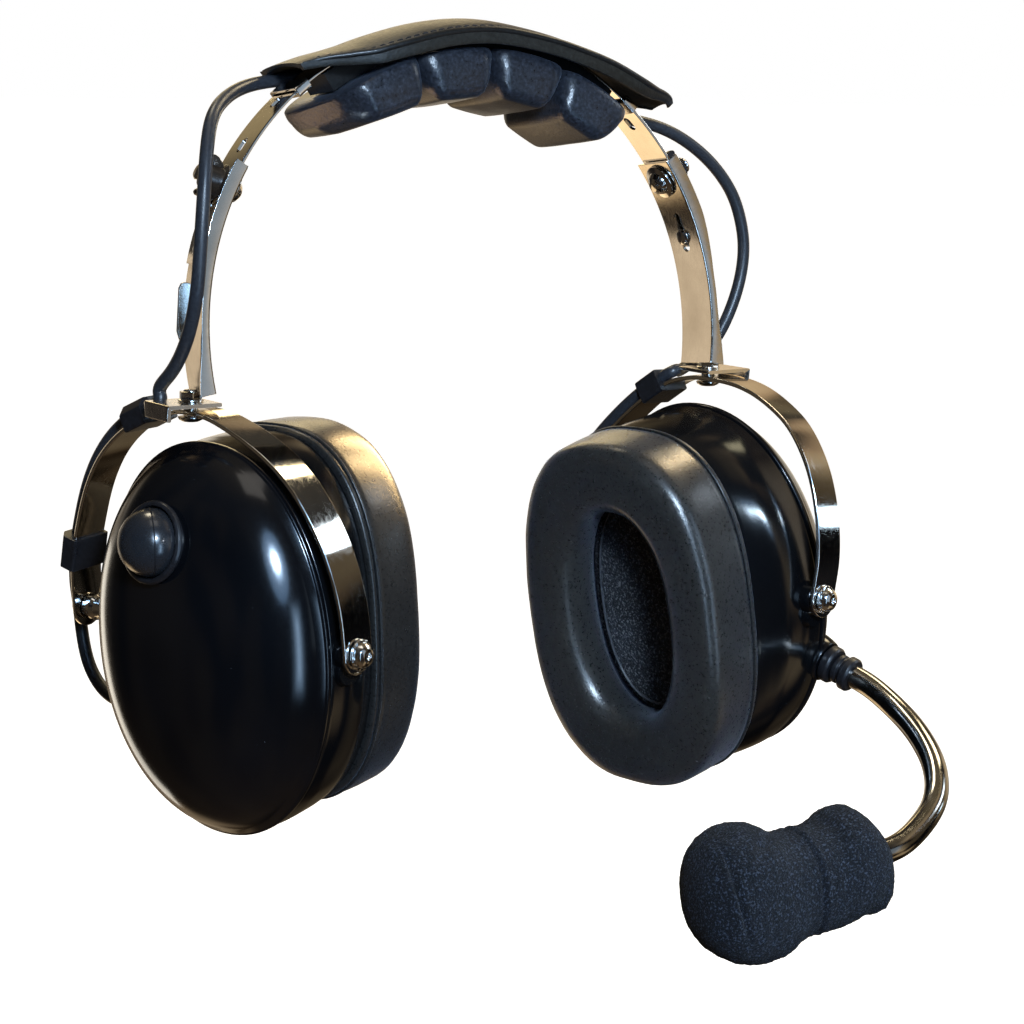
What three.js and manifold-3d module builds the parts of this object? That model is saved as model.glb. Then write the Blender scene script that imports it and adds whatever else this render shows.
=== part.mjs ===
// Aviation headset: sprung headband with sliding stirrup arms, swivelling yokes, tilting ear cups,
// a push button on one cup and a microphone boom on the other. Millimetres, +Z up, the face side is -Y.
// The origin is the midpoint between the two ear-cup pivot axes.
import * as THREE from "three";
import { mergeVertices } from "three/addons/utils/BufferGeometryUtils.js";
import Module from "manifold-3d";

const wasm = await Module();
wasm.setup();

// ---------------------------------------------------------------- driving dimensions
const BAND_Z0 = 57; // height of the hinge line that the headband leans about
const BAND_LEAN = 5.73; // degrees, top towards the rear
const ARC_Z = 16.5; // centre of the headband arc above BAND_Z0
const R_WEB0 = 78.0, R_WEB1 = 78.9; // stirrup arm web
const R_STRIP0 = 79.3, R_STRIP1 = 80.1; // spring strip
const ARM_HW = 7.0, ARM_IN = 6.2, STRIP_HW = 5.9;
const ARM_TOP = 34, ARM_BOTTOM = -10.9, STRIP_END = 14.8; // degrees on the arc
const SCREW_A = 29.8, PIN_A = 17.2; // clamp screw and guide pin
const YOKE_X = 78.49; // yoke frame from the middle plane
const SWIVEL_X = 81.2;
const YOKE_H = 57.0, YOKE_B = 47.16, STRAP_W = 10.3, STRAP_T = 1.2;
const PIVOT_W = 5.21; // pivots inboard of the yoke frame
const TURN = { L: 19.84, R: -15.77 }; // yoke turn at rest
const TILT = { L: 3.33, R: -10.84 }; // cup tilt at rest
const SPLIT_W = -5.3; // joint between the cup shell and its base
const DOME = { a: 37.8, b: 51.1, h: 25.8, m: 2.34, n: 2.07, s: 5.4, z: -0.9, t: 2.0 };
const SEAL = { a: 33.36, b: 50, n: 2.53, s: 4.74, z: 0.58, w0: 17.9, w1: 38.73, oa: 16.26, ob: 29.71, on: 2.3 };
const CABLE_R = 1.75;
const BOOM_R = 3.25;

const D = Math.PI / 180;
const V = (x, y, z) => new THREE.Vector3(x, y, z);

// ---------------------------------------------------------------- materials
const mat = (color, roughness, metalness) => new THREE.MeshStandardMaterial({ color, roughness, metalness });
const M = {
  chrome: mat(0xc9c6bf, 0.12, 1),
  steel: mat(0xb9b2a6, 0.3, 1),
  shell: mat(0x0c0d10, 0.12, 0),
  base: mat(0x141519, 0.3, 0),
  plastic: mat(0x17181b, 0.5, 0),
  seal: mat(0x24272c, 0.6, 0),
  leather: mat(0x211e18, 0.5, 0),
  pad: mat(0x23262d, 0.5, 0),
  foam: mat(0x1a1b1e, 0.95, 0),
  cable: mat(0x2a2b2f, 0.6, 0),
  boom: mat(0x4a453e, 0.2, 1),
  wind: mat(0x23252b, 1, 0),
  magnet: mat(0x8c8f93, 0.4, 1),
};

// ---------------------------------------------------------------- geometry helpers
// A skin over rings of equal length: with poles at its ends, flat caps, or closed into a loop.
function skin(rings, { pole0, pole1, loop, flip } = {}) {
  const n = rings[0].length, pos = [], idx = [];
  rings.forEach((r) => r.forEach((p) => pos.push(p.x, p.y, p.z)));
  const at = (i, j) => i * n + (j % n);
  const rows = loop ? rings.length : rings.length - 1;
  for (let i = 0; i < rows; i++)
    for (let j = 0; j < n; j++) {
      const k = (i + 1) % rings.length;
      idx.push(at(i, j), at(i, j + 1), at(k, j + 1), at(i, j), at(k, j + 1), at(k, j));
    }
  const end = (ring, base, pole, last) => {
    if (pole) {
      const c = pos.length / 3;
      pos.push(pole.x, pole.y, pole.z);
      for (let j = 0; j < n; j++) last ? idx.push(base + j, base + ((j + 1) % n), c) : idx.push(base + ((j + 1) % n), base + j, c);
      return;
    }
    // a flat cap, triangulated in the ring's own plane
    const nrm = V(0, 0, 0), c = V(0, 0, 0);
    ring.forEach((p, j) => {
      const q = ring[(j + 1) % n];
      nrm.x += (p.y - q.y) * (p.z + q.z); nrm.y += (p.z - q.z) * (p.x + q.x); nrm.z += (p.x - q.x) * (p.y + q.y);
      c.add(p);
    });
    nrm.normalize();
    const u = Math.abs(nrm.x) < 0.9 ? V(1, 0, 0) : V(0, 1, 0);
    u.cross(nrm).normalize();
    const v = nrm.clone().cross(u);
    const flat = ring.map((p) => new THREE.Vector2(p.dot(u), p.dot(v)));
    THREE.ShapeUtils.triangulateShape(flat, []).forEach(([a, b, d]) => {
      // the ring runs counter-clockwise in (u, v), so a triangle of it faces along the ring's normal
      const s = (flat[b].x - flat[a].x) * (flat[d].y - flat[a].y) - (flat[b].y - flat[a].y) * (flat[d].x - flat[a].x);
      const t = s > 0 ? [a, b, d] : [a, d, b];
      last ? idx.push(base + t[0], base + t[1], base + t[2]) : idx.push(base + t[0], base + t[2], base + t[1]);
    });
  };
  if (!loop) {
    end(rings[0], 0, pole0, false);
    end(rings[rings.length - 1], (rings.length - 1) * n, pole1, true);
  }
  const g = new THREE.BufferGeometry();
  g.setAttribute("position", new THREE.Float32BufferAttribute(pos, 3));
  g.setIndex(idx);
  return outward(g);
}
// Signed volume decides which way the faces look.
function outward(g) {
  const p = g.attributes.position, ix = g.index ? g.index.array : null, n = ix ? ix.length : p.count;
  const a = V(), b = V(), c = V();
  let v = 0;
  for (let i = 0; i < n; i += 3) {
    a.fromBufferAttribute(p, ix ? ix[i] : i); b.fromBufferAttribute(p, ix ? ix[i + 1] : i + 1); c.fromBufferAttribute(p, ix ? ix[i + 2] : i + 2);
    v += a.dot(b.cross(c));
  }
  return v < 0 ? turned(g) : g;
}
function turned(g) {
  const h = g.index ? g : mergeVertices(g);
  const ix = Array.from(h.index.array);
  for (let i = 0; i < ix.length; i += 3) [ix[i + 1], ix[i + 2]] = [ix[i + 2], ix[i + 1]];
  h.setIndex(ix);
  return h;
}
function solid(g) {
  let h = g.clone();
  for (const k of Object.keys(h.attributes)) if (k !== "position") h.deleteAttribute(k);
  h = mergeVertices(h, 1e-4);
  return new wasm.Manifold(new wasm.Mesh({ numProp: 3, vertProperties: new Float32Array(h.attributes.position.array), triVerts: new Uint32Array(h.index.array) }));
}
function geo(s) {
  const m = s.getMesh(), n = m.numProp, v = new Float32Array(m.numVert * 3);
  for (let i = 0; i < m.numVert; i++) v.set(m.vertProperties.subarray(i * n, i * n + 3), i * 3);
  const g = new THREE.BufferGeometry();
  g.setAttribute("position", new THREE.BufferAttribute(v, 3));
  g.setIndex(Array.from(m.triVerts));
  return g;
}
const cut = (g, ...tools) => geo(tools.reduce((s, t) => s.subtract(solid(t)), solid(g)));
const join = (g, ...more) => geo(more.reduce((s, t) => s.add(solid(t)), solid(g)));
const both = (g, h) => geo(solid(g).intersect(solid(h)));

const box = (x, y, z, at = [0, 0, 0]) => new THREE.BoxGeometry(x, y, z).translate(...at);
// cylinder with its axis along +z from z0 to z1
const cyl = (r, z0, z1, k = 16) => new THREE.CylinderGeometry(r, r, z1 - z0, k).rotateX(Math.PI / 2).translate(0, 0, (z0 + z1) / 2);
// turned piece about +z; the profile is [radius, height] and starts and ends on the axis or closes on itself
const lathe = (prof, k = 16) => outward(new THREE.LatheGeometry(prof.map(([r, h]) => new THREE.Vector2(r, h)), k).rotateX(Math.PI / 2));
const slotShape = (len, wid, depth, k = 5) => {
  const h = (len - wid) / 2, r = wid / 2, s = new THREE.Shape();
  s.moveTo(-h, -r); s.lineTo(h, -r); s.absarc(h, 0, r, -Math.PI / 2, Math.PI / 2, false); s.lineTo(-h, r); s.absarc(-h, 0, r, Math.PI / 2, Math.PI * 1.5, false);
  return new THREE.ExtrudeGeometry(s, { depth, bevelEnabled: false, curveSegments: k }).translate(0, 0, -depth / 2);
};
// frame whose z is the given direction, x as near as possible to a hint
function aim(at, dir, hint = V(0, 1, 0)) {
  const z = dir.clone().normalize();
  const x = hint.clone().sub(z.clone().multiplyScalar(hint.dot(z))).normalize();
  const y = z.clone().cross(x);
  return new THREE.Matrix4().makeBasis(x, y, z).setPosition(at);
}
const put = (g, m) => g.clone().applyMatrix4(m);
const sup = (a, b, n, k) => Array.from({ length: k }, (_, i) => {
  const t = (2 * Math.PI * (i + 0.5)) / k, c = Math.cos(t), s = Math.sin(t);
  return [a * Math.sign(c) * Math.abs(c) ** (2 / n), b * Math.sign(s) * Math.abs(s) ** (2 / n)];
});
// round cable along a smooth curve through the given points
function tube(points, r, steps, sides = 8, closedCurve = null) {
  const curve = closedCurve || new THREE.CatmullRomCurve3(points, false, "centripetal");
  const sec = new THREE.Shape();
  for (let i = 0; i < sides; i++) {
    const t = (2 * Math.PI * i) / sides;
    i ? sec.lineTo(r * Math.cos(t), r * Math.sin(t)) : sec.moveTo(r, 0);
  }
  sec.closePath();
  const g = new THREE.ExtrudeGeometry(sec, { steps, extrudePath: curve, bevelEnabled: false });
  for (const k of ["normal", "uv"]) g.deleteAttribute(k);
  return outward(mergeVertices(g, 1e-4));
}
const lerp = (a, b, t) => a + (b - a) * t;
function table(x, xs, ys) {
  if (x <= xs[0]) return ys[0];
  for (let i = 1; i < xs.length; i++) if (x <= xs[i]) return lerp(ys[i - 1], ys[i], (x - xs[i - 1]) / (xs[i] - xs[i - 1]));
  return ys[ys.length - 1];
}

const root = new THREE.Group();
const mesh = (name, g, material, parent) => {
  const m = new THREE.Mesh(g, material);
  m.name = name;
  (parent || root).add(m);
  return m;
};

// ---------------------------------------------------------------- headband
const band = new THREE.Group();
band.position.set(0, 0, BAND_Z0);
band.rotation.x = -BAND_LEAN * D;
band.updateMatrix();
root.add(band);
const unband = band.matrix.clone().invert();

const arcP = (side, a, rho, y) => V(side * rho * Math.cos(a * D), y, ARC_Z + rho * Math.sin(a * D));
// section [y, rho] swept along the headband arc from a0 to a1 degrees
const arcSweep = (sec, a0, a1, steps, side = 1) =>
  skin(Array.from({ length: steps + 1 }, (_, i) => sec.map(([y, rho]) => arcP(side, lerp(a0, a1, i / steps), rho, y))));
// frame at a place on the arc: z is outward, y is along the strip's width
function onArc(side, a, rho, y = 0) {
  const z = V(side * Math.cos(a * D), 0, Math.sin(a * D)), yy = V(0, 1, 0), x = yy.clone().cross(z);
  return new THREE.Matrix4().makeBasis(x, yy, z).setPosition(arcP(side, a, rho, y));
}

// spring strip with its adjusting slots
{
  let g = arcSweep([[-STRIP_HW, R_STRIP0], [STRIP_HW, R_STRIP0], [STRIP_HW, R_STRIP1], [-STRIP_HW, R_STRIP1]], STRIP_END, 180 - STRIP_END, 26);
  const tools = [];
  for (const side of [1, -1]) {
    tools.push(put(slotShape(12.0, 4.0, 6, 3), onArc(side, 28.6, 79.7)));
    tools.push(put(cyl(1.6, -3, 3, 10), onArc(side, PIN_A, 79.7)));
  }
  for (const [side, a] of [[-1, 38.2], [-1, 49], [1, 43.5]]) tools.push(put(slotShape(4.6, 2.6, 6, 2), onArc(side, a, 79.7)));
  mesh("headband_spring", cut(g, ...tools), M.chrome, band);
}
// leather cover: a crowned wrap, open underneath
const COVER = {
  a: [40.8, 42.6, 44.5, 47, 52, 60, 70, 80, 87, 98, 105, 113, 118, 122, 126.5],
  hw: [4.5, 8, 10.5, 13, 16.8, 18.8, 19.5, 19.5, 19.5, 19.5, 19.3, 18, 15.5, 13, 11],
  ridge: [92.6, 91.6, 90.4, 88.6, 86, 84.2, 82.7, 82.1, 82.2, 81.8, 81.6, 82.0, 83.2, 84.9, 86.8],
  drop: [0.8, 1.2, 1.8, 2.6, 3.5, 4.2, 4.6, 4.6, 4.6, 4.3, 4.1, 3.6, 2.6, 1.8, 1.0],
  rim: [1.6, 2.2, 2.8, 3.4, 3.8, 3.9, 3.7, 3.7, 3.7, 3.7, 3.7, 3.5, 3.1, 2.6, 2.0],
};
function coverSection(a) {
  const [hw, ridge, drop, rim] = ["hw", "ridge", "drop", "rim"].map((k) => table(a, COVER.a, COVER[k]));
  const t = Math.min(1.5, hw * 0.3), out = [], inn = [], f = [-1, -0.68, -0.34, 0, 0.34, 0.68, 1];
  for (const u of f) {
    out.push([u * hw, ridge - drop * u * u]);
    inn.push([u * (hw - t), ridge - lerp(0.75, 1.4, u * u) - drop * u * u]);
  }
  const lo = ridge - drop - Math.max(rim, 1.9);
  return [[-hw, lo], ...out, [hw, lo], [hw - t, lo], ...inn.reverse(), [-(hw - t), lo]];
}
mesh("head_cover", skin([40.8, 42.6, 44.5, 47, 52, 58, 64, 70, 76, 82, 88, 94, 100, 106, 112, 117, 122, 126.5].map((a) => coverSection(a).map(([y, r]) => arcP(1, a, r, y)))), M.leather, band);
// lobed cushion
const PAD_TOP = 73.4;
const PAD_EDGES = [49.9, 68.3, 86.2, 104.4, 127.6];
function padSection(a) {
  let i = 0;
  while (i < 3 && a > PAD_EDGES[i + 1]) i++;
  const u = (a - PAD_EDGES[i]) / (PAD_EDGES[i + 1] - PAD_EDGES[i]); // 0..1 along the lobe
  const f = Math.min(1, 4.2 * u, i === 3 ? 0.62 + 5 * (1 - u) : 4.2 * (1 - u)); // 0 at a groove
  const s = Math.sqrt(Math.max(0, 1 - (1 - f) ** 2));
  const depth = lerp(2.8, 13, s), hw = lerp(13.6, 16.4, s);
  const b = PAD_TOP - depth, r = Math.min(2.8, depth * 0.4);
  return [[-(hw - 0.8), PAD_TOP], [hw - 0.8, PAD_TOP], [hw, PAD_TOP - 0.9], [hw, b + r], [hw - 0.3 * r, b + 0.3 * r], [hw - r, b], [-(hw - r), b], [-(hw - 0.3 * r), b + 0.3 * r], [-hw, b + r], [-hw, PAD_TOP - 0.9]];
}
{
  const as = [];
  for (let i = 0; i < 4; i++) for (const u of [0, 0.05, 0.16, 0.34, 0.66, 0.84, 0.95]) as.push(lerp(PAD_EDGES[i], PAD_EDGES[i + 1], u));
  as.push(PAD_EDGES[4]);
  mesh("head_pad", skin(as.map((a) => padSection(a).map(([y, r]) => arcP(1, a, r, y)))), M.pad, band);
}
// foam core between the strip and the cushion
mesh("pad_core", arcSweep([[-6.4, 73.8], [6.4, 73.8], [6.4, 78.9], [-6.4, 78.9]], 53, 122, 16), M.foam, band);
// bent chrome clips that hold the cover's ends to the strip
for (const [side, name, a0] of [[-1, "cover_clip_left", 51.2], [1, "cover_clip_right", 46.6]]) {
  const outer = arcSweep([[-7.0, 78.3], [7.0, 78.3], [7.0, 81.1], [-7.0, 81.1]], a0, a0 + 3.2, 2, side);
  const inner = arcSweep([[-6.2, 78.98], [6.2, 78.98], [6.2, 80.42], [-6.2, 80.42]], a0 - 1, a0 + 4.2, 3, side);
  mesh(name, cut(outer, inner), M.chrome, band);
}
// guide pins, riveted through the strip and running in the arms' slots
for (const [side, name] of [[-1, "guide_pin_left"], [1, "guide_pin_right"]]) {
  const g = lathe([[0, -3.0], [1.9, -2.8], [2.4, -2.1], [2.4, -2.0], [1.3, -2.0], [1.3, 0.75], [2.2, 0.75], [2.2, 1.1], [1.5, 1.5], [0, 1.55]], 12);
  mesh(name, put(g, onArc(side, PIN_A, 79.7)), M.steel, band);
}

// ---------------------------------------------------------------- yoke and cup frames
function sideGroups(key) {
  const side = key === "L" ? -1 : 1, ph = TURN[key] * D;
  const t = V(-side * Math.sin(ph), -Math.cos(ph), 0), up = V(0, 0, 1), y = up.clone().cross(t);
  const yoke = new THREE.Group();
  yoke.position.set(side * YOKE_X, 0, 0);
  yoke.quaternion.setFromRotationMatrix(new THREE.Matrix4().makeBasis(t, y, up));
  const cup = new THREE.Group();
  cup.position.set(0, -side * PIVOT_W, 0);
  cup.rotation.x = -side * TILT[key] * D;
  yoke.add(cup);
  root.add(yoke);
  yoke.updateMatrixWorld(true);
  return { side, yoke, cup };
}
// Cup and yoke pieces are drawn as (s forward, w inward, z up); on the right side w is turned over.
const handed = (g, side) => (side < 0 ? g : turned(g.clone().applyMatrix4(new THREE.Matrix4().makeScale(1, -1, 1))));

// strap centre lines from the rear pivot over the swivel to the front pivot, as [forward, up]
const PATH = {
  L: [[-YOKE_B, 0], [-46.5, 12.5], [-43, 24], [-38.6, 34], [-33.4, 41.6], [-28, 46.8], [-21.5, 51.2], [-14, 54.6], [-7.5, 56.4], [0, YOKE_H], [7.5, 56.2], [14, 53.9], [20.5, 50.9], [27, 46.9], [33, 41.4], [38.2, 34.4], [43, 25], [46.4, 12.5], [YOKE_B, 0]],
  R: [[-YOKE_B, 0], [-45.6, 11], [-41.5, 20.5], [-35.8, 29.5], [-29.4, 37.3], [-23.6, 43.3], [-17.5, 48.7], [-12.4, 52.3], [-7.4, 55.4], [0, YOKE_H], [8, 56.9], [15, 56], [21.5, 54], [28, 50.7], [33.6, 46.8], [38.4, 41.4], [43, 33.6], [46.6, 22.4], [48, 11], [YOKE_B, 0]],
};
const strapW = (z) => { const q = Math.max(0, Math.min(1, z / YOKE_H)); return PIVOT_W * (1 - q) - 1.3 * q ** 4; };
// evenly spaced strap centre line with tangents
function strapLine(key) {
  const P = PATH[key], ext = [V(P[0][0], -8, 0), ...P.map(([x, z]) => V(x, z, 0)), V(P[P.length - 1][0], -8, 0)];
  const curve = new THREE.CatmullRomCurve3(ext, false, "centripetal"), raw = [];
  const k0 = 1 / (ext.length - 1);
  for (let i = 0; i <= 600; i++) { const p = curve.getPoint(lerp(k0, 1 - k0, i / 600)); raw.push([p.x, p.y]); }
  const len = [0];
  for (let i = 1; i < raw.length; i++) len.push(len[i - 1] + Math.hypot(raw[i][0] - raw[i - 1][0], raw[i][1] - raw[i - 1][1]));
  const total = len[len.length - 1];
  return {
    total,
    at(l) { // l from 0 at the rear pivot
      if (l < 0) return { s: -YOKE_B, z: l, ts: 0, tz: 1 };
      if (l > total) return { s: YOKE_B, z: total - l, ts: 0, tz: -1 };
      let i = 1;
      while (i < len.length - 1 && len[i] < l) i++;
      const k = (l - len[i - 1]) / (len[i] - len[i - 1]), a = raw[i - 1], b = raw[i];
      const d = Math.hypot(b[0] - a[0], b[1] - a[1]);
      return { s: lerp(a[0], b[0], k), z: lerp(a[1], b[1], k), ts: (b[0] - a[0]) / d, tz: (b[1] - a[1]) / d };
    },
    // arc length at which the rear half reaches a given place forward
    find(s0) { let i = 0; while (raw[i][0] < s0) i++; return len[i]; },
  };
}
const LINE = { L: strapLine("L"), R: strapLine("R") };
// frame on the strap: x along it, y across it (w), z away from the cup
function onStrap(key, l, off = 0, w = 0) {
  const p = LINE[key].at(l), lean = 5.2 * D * (1 - Math.max(0, p.z / YOKE_H) ** 8);
  const x = V(p.ts, -Math.sin(lean) * p.tz, p.tz).normalize(), y = V(0, Math.cos(lean), Math.sin(lean));
  y.addScaledVector(x, -y.dot(x)).normalize();
  const z = x.clone().cross(y), at = V(p.s, strapW(p.z), p.z).addScaledVector(z, off).addScaledVector(y, w);
  return new THREE.Matrix4().makeBasis(x, y, z).setPosition(at);
}
const strapPoint = (key, l, off, w) => V(0, 0, 0).applyMatrix4(onStrap(key, l, off, w));

function strap(key, side) {
  const rings = [], total = LINE[key].total, ls = [-5.1, -4.3, -2.6], n = 26;
  for (let i = 0; i <= n; i++) ls.push((total * i) / n);
  ls.push(total + 2.6, total + 4.3, total + 5.1);
  for (const l of ls) {
    const over = l < 0 ? -l : l > total ? l - total : 0;
    const hw = over > 0 ? Math.sqrt(Math.max(0.3, (STRAP_W / 2) ** 2 - Math.max(0, over) ** 2)) : STRAP_W / 2;
    const m = onStrap(key, l), h = STRAP_T / 2;
    rings.push([[-hw, -h], [hw, -h], [hw, h], [-hw, h]].map(([y, z]) => V(0, y, z).applyMatrix4(m)));
  }
  const ph = (side < 0 ? TURN.L : TURN.R) * D;
  // the swivel hole, in the yoke's own axes
  const dx = side * (SWIVEL_X - YOKE_X), hs = dx * -side * Math.sin(ph), hw = dx * -side * Math.cos(ph);
  return cut(skin(rings), cyl(2.2, 50, 62, 14).translate(hs, hw, 0),
    cyl(2.2, -60, 60, 12).rotateY(Math.PI / 2).translate(0, PIVOT_W, 0));
}
// spring clip that holds the cable to the strap
function cableClip(key, l, len) {
  const e = Math.sign(CAB_W[key]), w = CAB_W[key], sh = new THREE.Shape();
  [[-6.1, -1.65], [6.2, -1.65], [6.2, 3.0], [Math.abs(w) + 2.6, 5.2], [Math.abs(w) - 2.7, 5.2], [Math.abs(w) - 3.0, 2.2], [-6.1, 1.6]]
    .forEach(([u, y], i) => (i ? sh.lineTo(e * u, y) : sh.moveTo(e * u, y)));
  sh.closePath();
  const g = new THREE.ExtrudeGeometry(sh, { depth: len, bevelEnabled: false }).translate(0, 0, -len / 2);
  // shape x is across the strap, shape y is away from the cup, extrusion runs along it
  const m = new THREE.Matrix4().makeBasis(V(0, 1, 0), V(0, 0, 1), V(1, 0, 0)), h = new THREE.Matrix4().copy(onStrap(key, l));
  return put(put(cut(outward(g), box(10.9, 2.1, len + 2), cyl(CABLE_R + 0.45, -len, len, 14).translate(w, CAB_OFF, 0)), m), h);
}
const GLAND_W = 2, GLAND_Z = -26, SCREW_W = -1.5, LEAD_W = 9; // cable entry, rim screw and lead inlet on the cup base
const CLIP_UP = { L: LINE.L.find(-17.5), R: LINE.R.find(-13.5) }, CLIP_LOW = 15.5, CAB_OFF = 2.7, CAB_W = { L: -1.2, R: 3.2 };

// ---------------------------------------------------------------- ear cups
const domeW = (s, z) => {
  const q = (Math.abs((s - DOME.s) / DOME.a) ** DOME.n + Math.abs((z - DOME.z) / DOME.b) ** DOME.n) ** (1 / DOME.n);
  return -DOME.h * Math.max(0, 1 - q ** DOME.m) ** (1 / DOME.m);
};
const KR = 24;
const ringAt = (a, b, n, cs, cz, w) => sup(a, b, n, KR).map(([s, z]) => V(s + cs, w, z + cz));
const domeR = (w) => Math.max(0, 1 - (-w / DOME.h) ** DOME.m) ** (1 / DOME.m);
// rings from near the crown to the split, on the surface offset by grow
function domeRings(grow, bes) {
  return bes.map((be) => {
    const r = Math.cos(be * D) ** (2 / DOME.m), u = Math.sin(be * D) ** (2 / DOME.m);
    return ringAt((DOME.a + grow) * r, (DOME.b + grow) * r, DOME.n, DOME.s, DOME.z, -(DOME.h + grow) * u);
  });
}
function domeShell() {
  const out = domeRings(0, [77, 62, 46, 31, 19]), inn = domeRings(-DOME.t, [22, 46, 70]);
  const k = domeR(SPLIT_W), lip = (w, g) => ringAt(DOME.a * k + g, DOME.b * k + g, DOME.n, DOME.s, DOME.z, w);
  return skin([...out, lip(SPLIT_W - 1.9, 0.0), lip(SPLIT_W - 1.6, 0.7), lip(SPLIT_W, 0.7), lip(SPLIT_W, -DOME.t), ...inn], { pole0: V(DOME.s, -DOME.h, DOME.z), pole1: V(DOME.s, -DOME.h + DOME.t, DOME.z) });
}
const BASE = [[SPLIT_W + 0.3, 37.6, 50.8, 2.07], [1, 37.8, 50.9, 2.08], [7.5, 36.7, 50.4, 2.2], [13, 34.4, 49.8, 2.32], [17.6, 32.2, 49.0, 2.42]];
const baseRing = (i, inset) => {
  const [w, a, b, n] = BASE[i], k = Math.max(0, w / 17.6);
  return ringAt(a - inset, b - inset, n, lerp(DOME.s, SEAL.s, k), lerp(DOME.z, SEAL.z, k), w);
};
function baseShell() {
  return skin([0, 1, 2, 3, 4].map((i) => baseRing(i, 0)).concat([4, 2, 0].map((i) => baseRing(i, 2.1))), { loop: true });
}
function cushion() {
  const o = (ins, w) => ringAt(SEAL.a - ins, SEAL.b - ins, SEAL.n, SEAL.s, SEAL.z, w);
  const i = (off, w) => ringAt(SEAL.oa + off, SEAL.ob + off, SEAL.on, SEAL.s, SEAL.z, w);
  return skin([o(0.4, SEAL.w0), o(0, 20), o(0, 31), o(1.1, 35.2), o(3.6, 37.8), o(6.65, SEAL.w1), i(5.8, SEAL.w1), i(1.8, 36.9), i(0, 33), i(0.4, 28), i(5.2, 22.5), i(5.2, SEAL.w0)], { loop: true });
}
const plateRings = (inset, w0, w1) => [ringAt(30.0 - inset, 46.7 - inset, 2.42, SEAL.s, SEAL.z, w0), ringAt(29.7 - inset, 46.4 - inset, 2.42, SEAL.s, SEAL.z, w1)];
const alongS = (g, dir, at) => put(g, aim(at, dir, V(0, 1, 0)));

// push button: place and outward normal on the dome
const BTN = (() => {
  const s = 2.3, z = 27.3, e = 0.5, w = domeW(s, z);
  const n = V((domeW(s + e, z) - domeW(s - e, z)) / (2 * e), -1, (domeW(s, z + e) - domeW(s, z - e)) / (2 * e)).normalize();
  return { at: V(s, w, z), n };
})();
// boom gland: place and direction on the dome's front edge
const GLAND = { at: V(40.5, -9, -22.9), dir: V(0.948, 0, -0.318).normalize() };

const worldOf = (group, p) => p.clone().applyMatrix4(group.matrixWorld);

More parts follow.
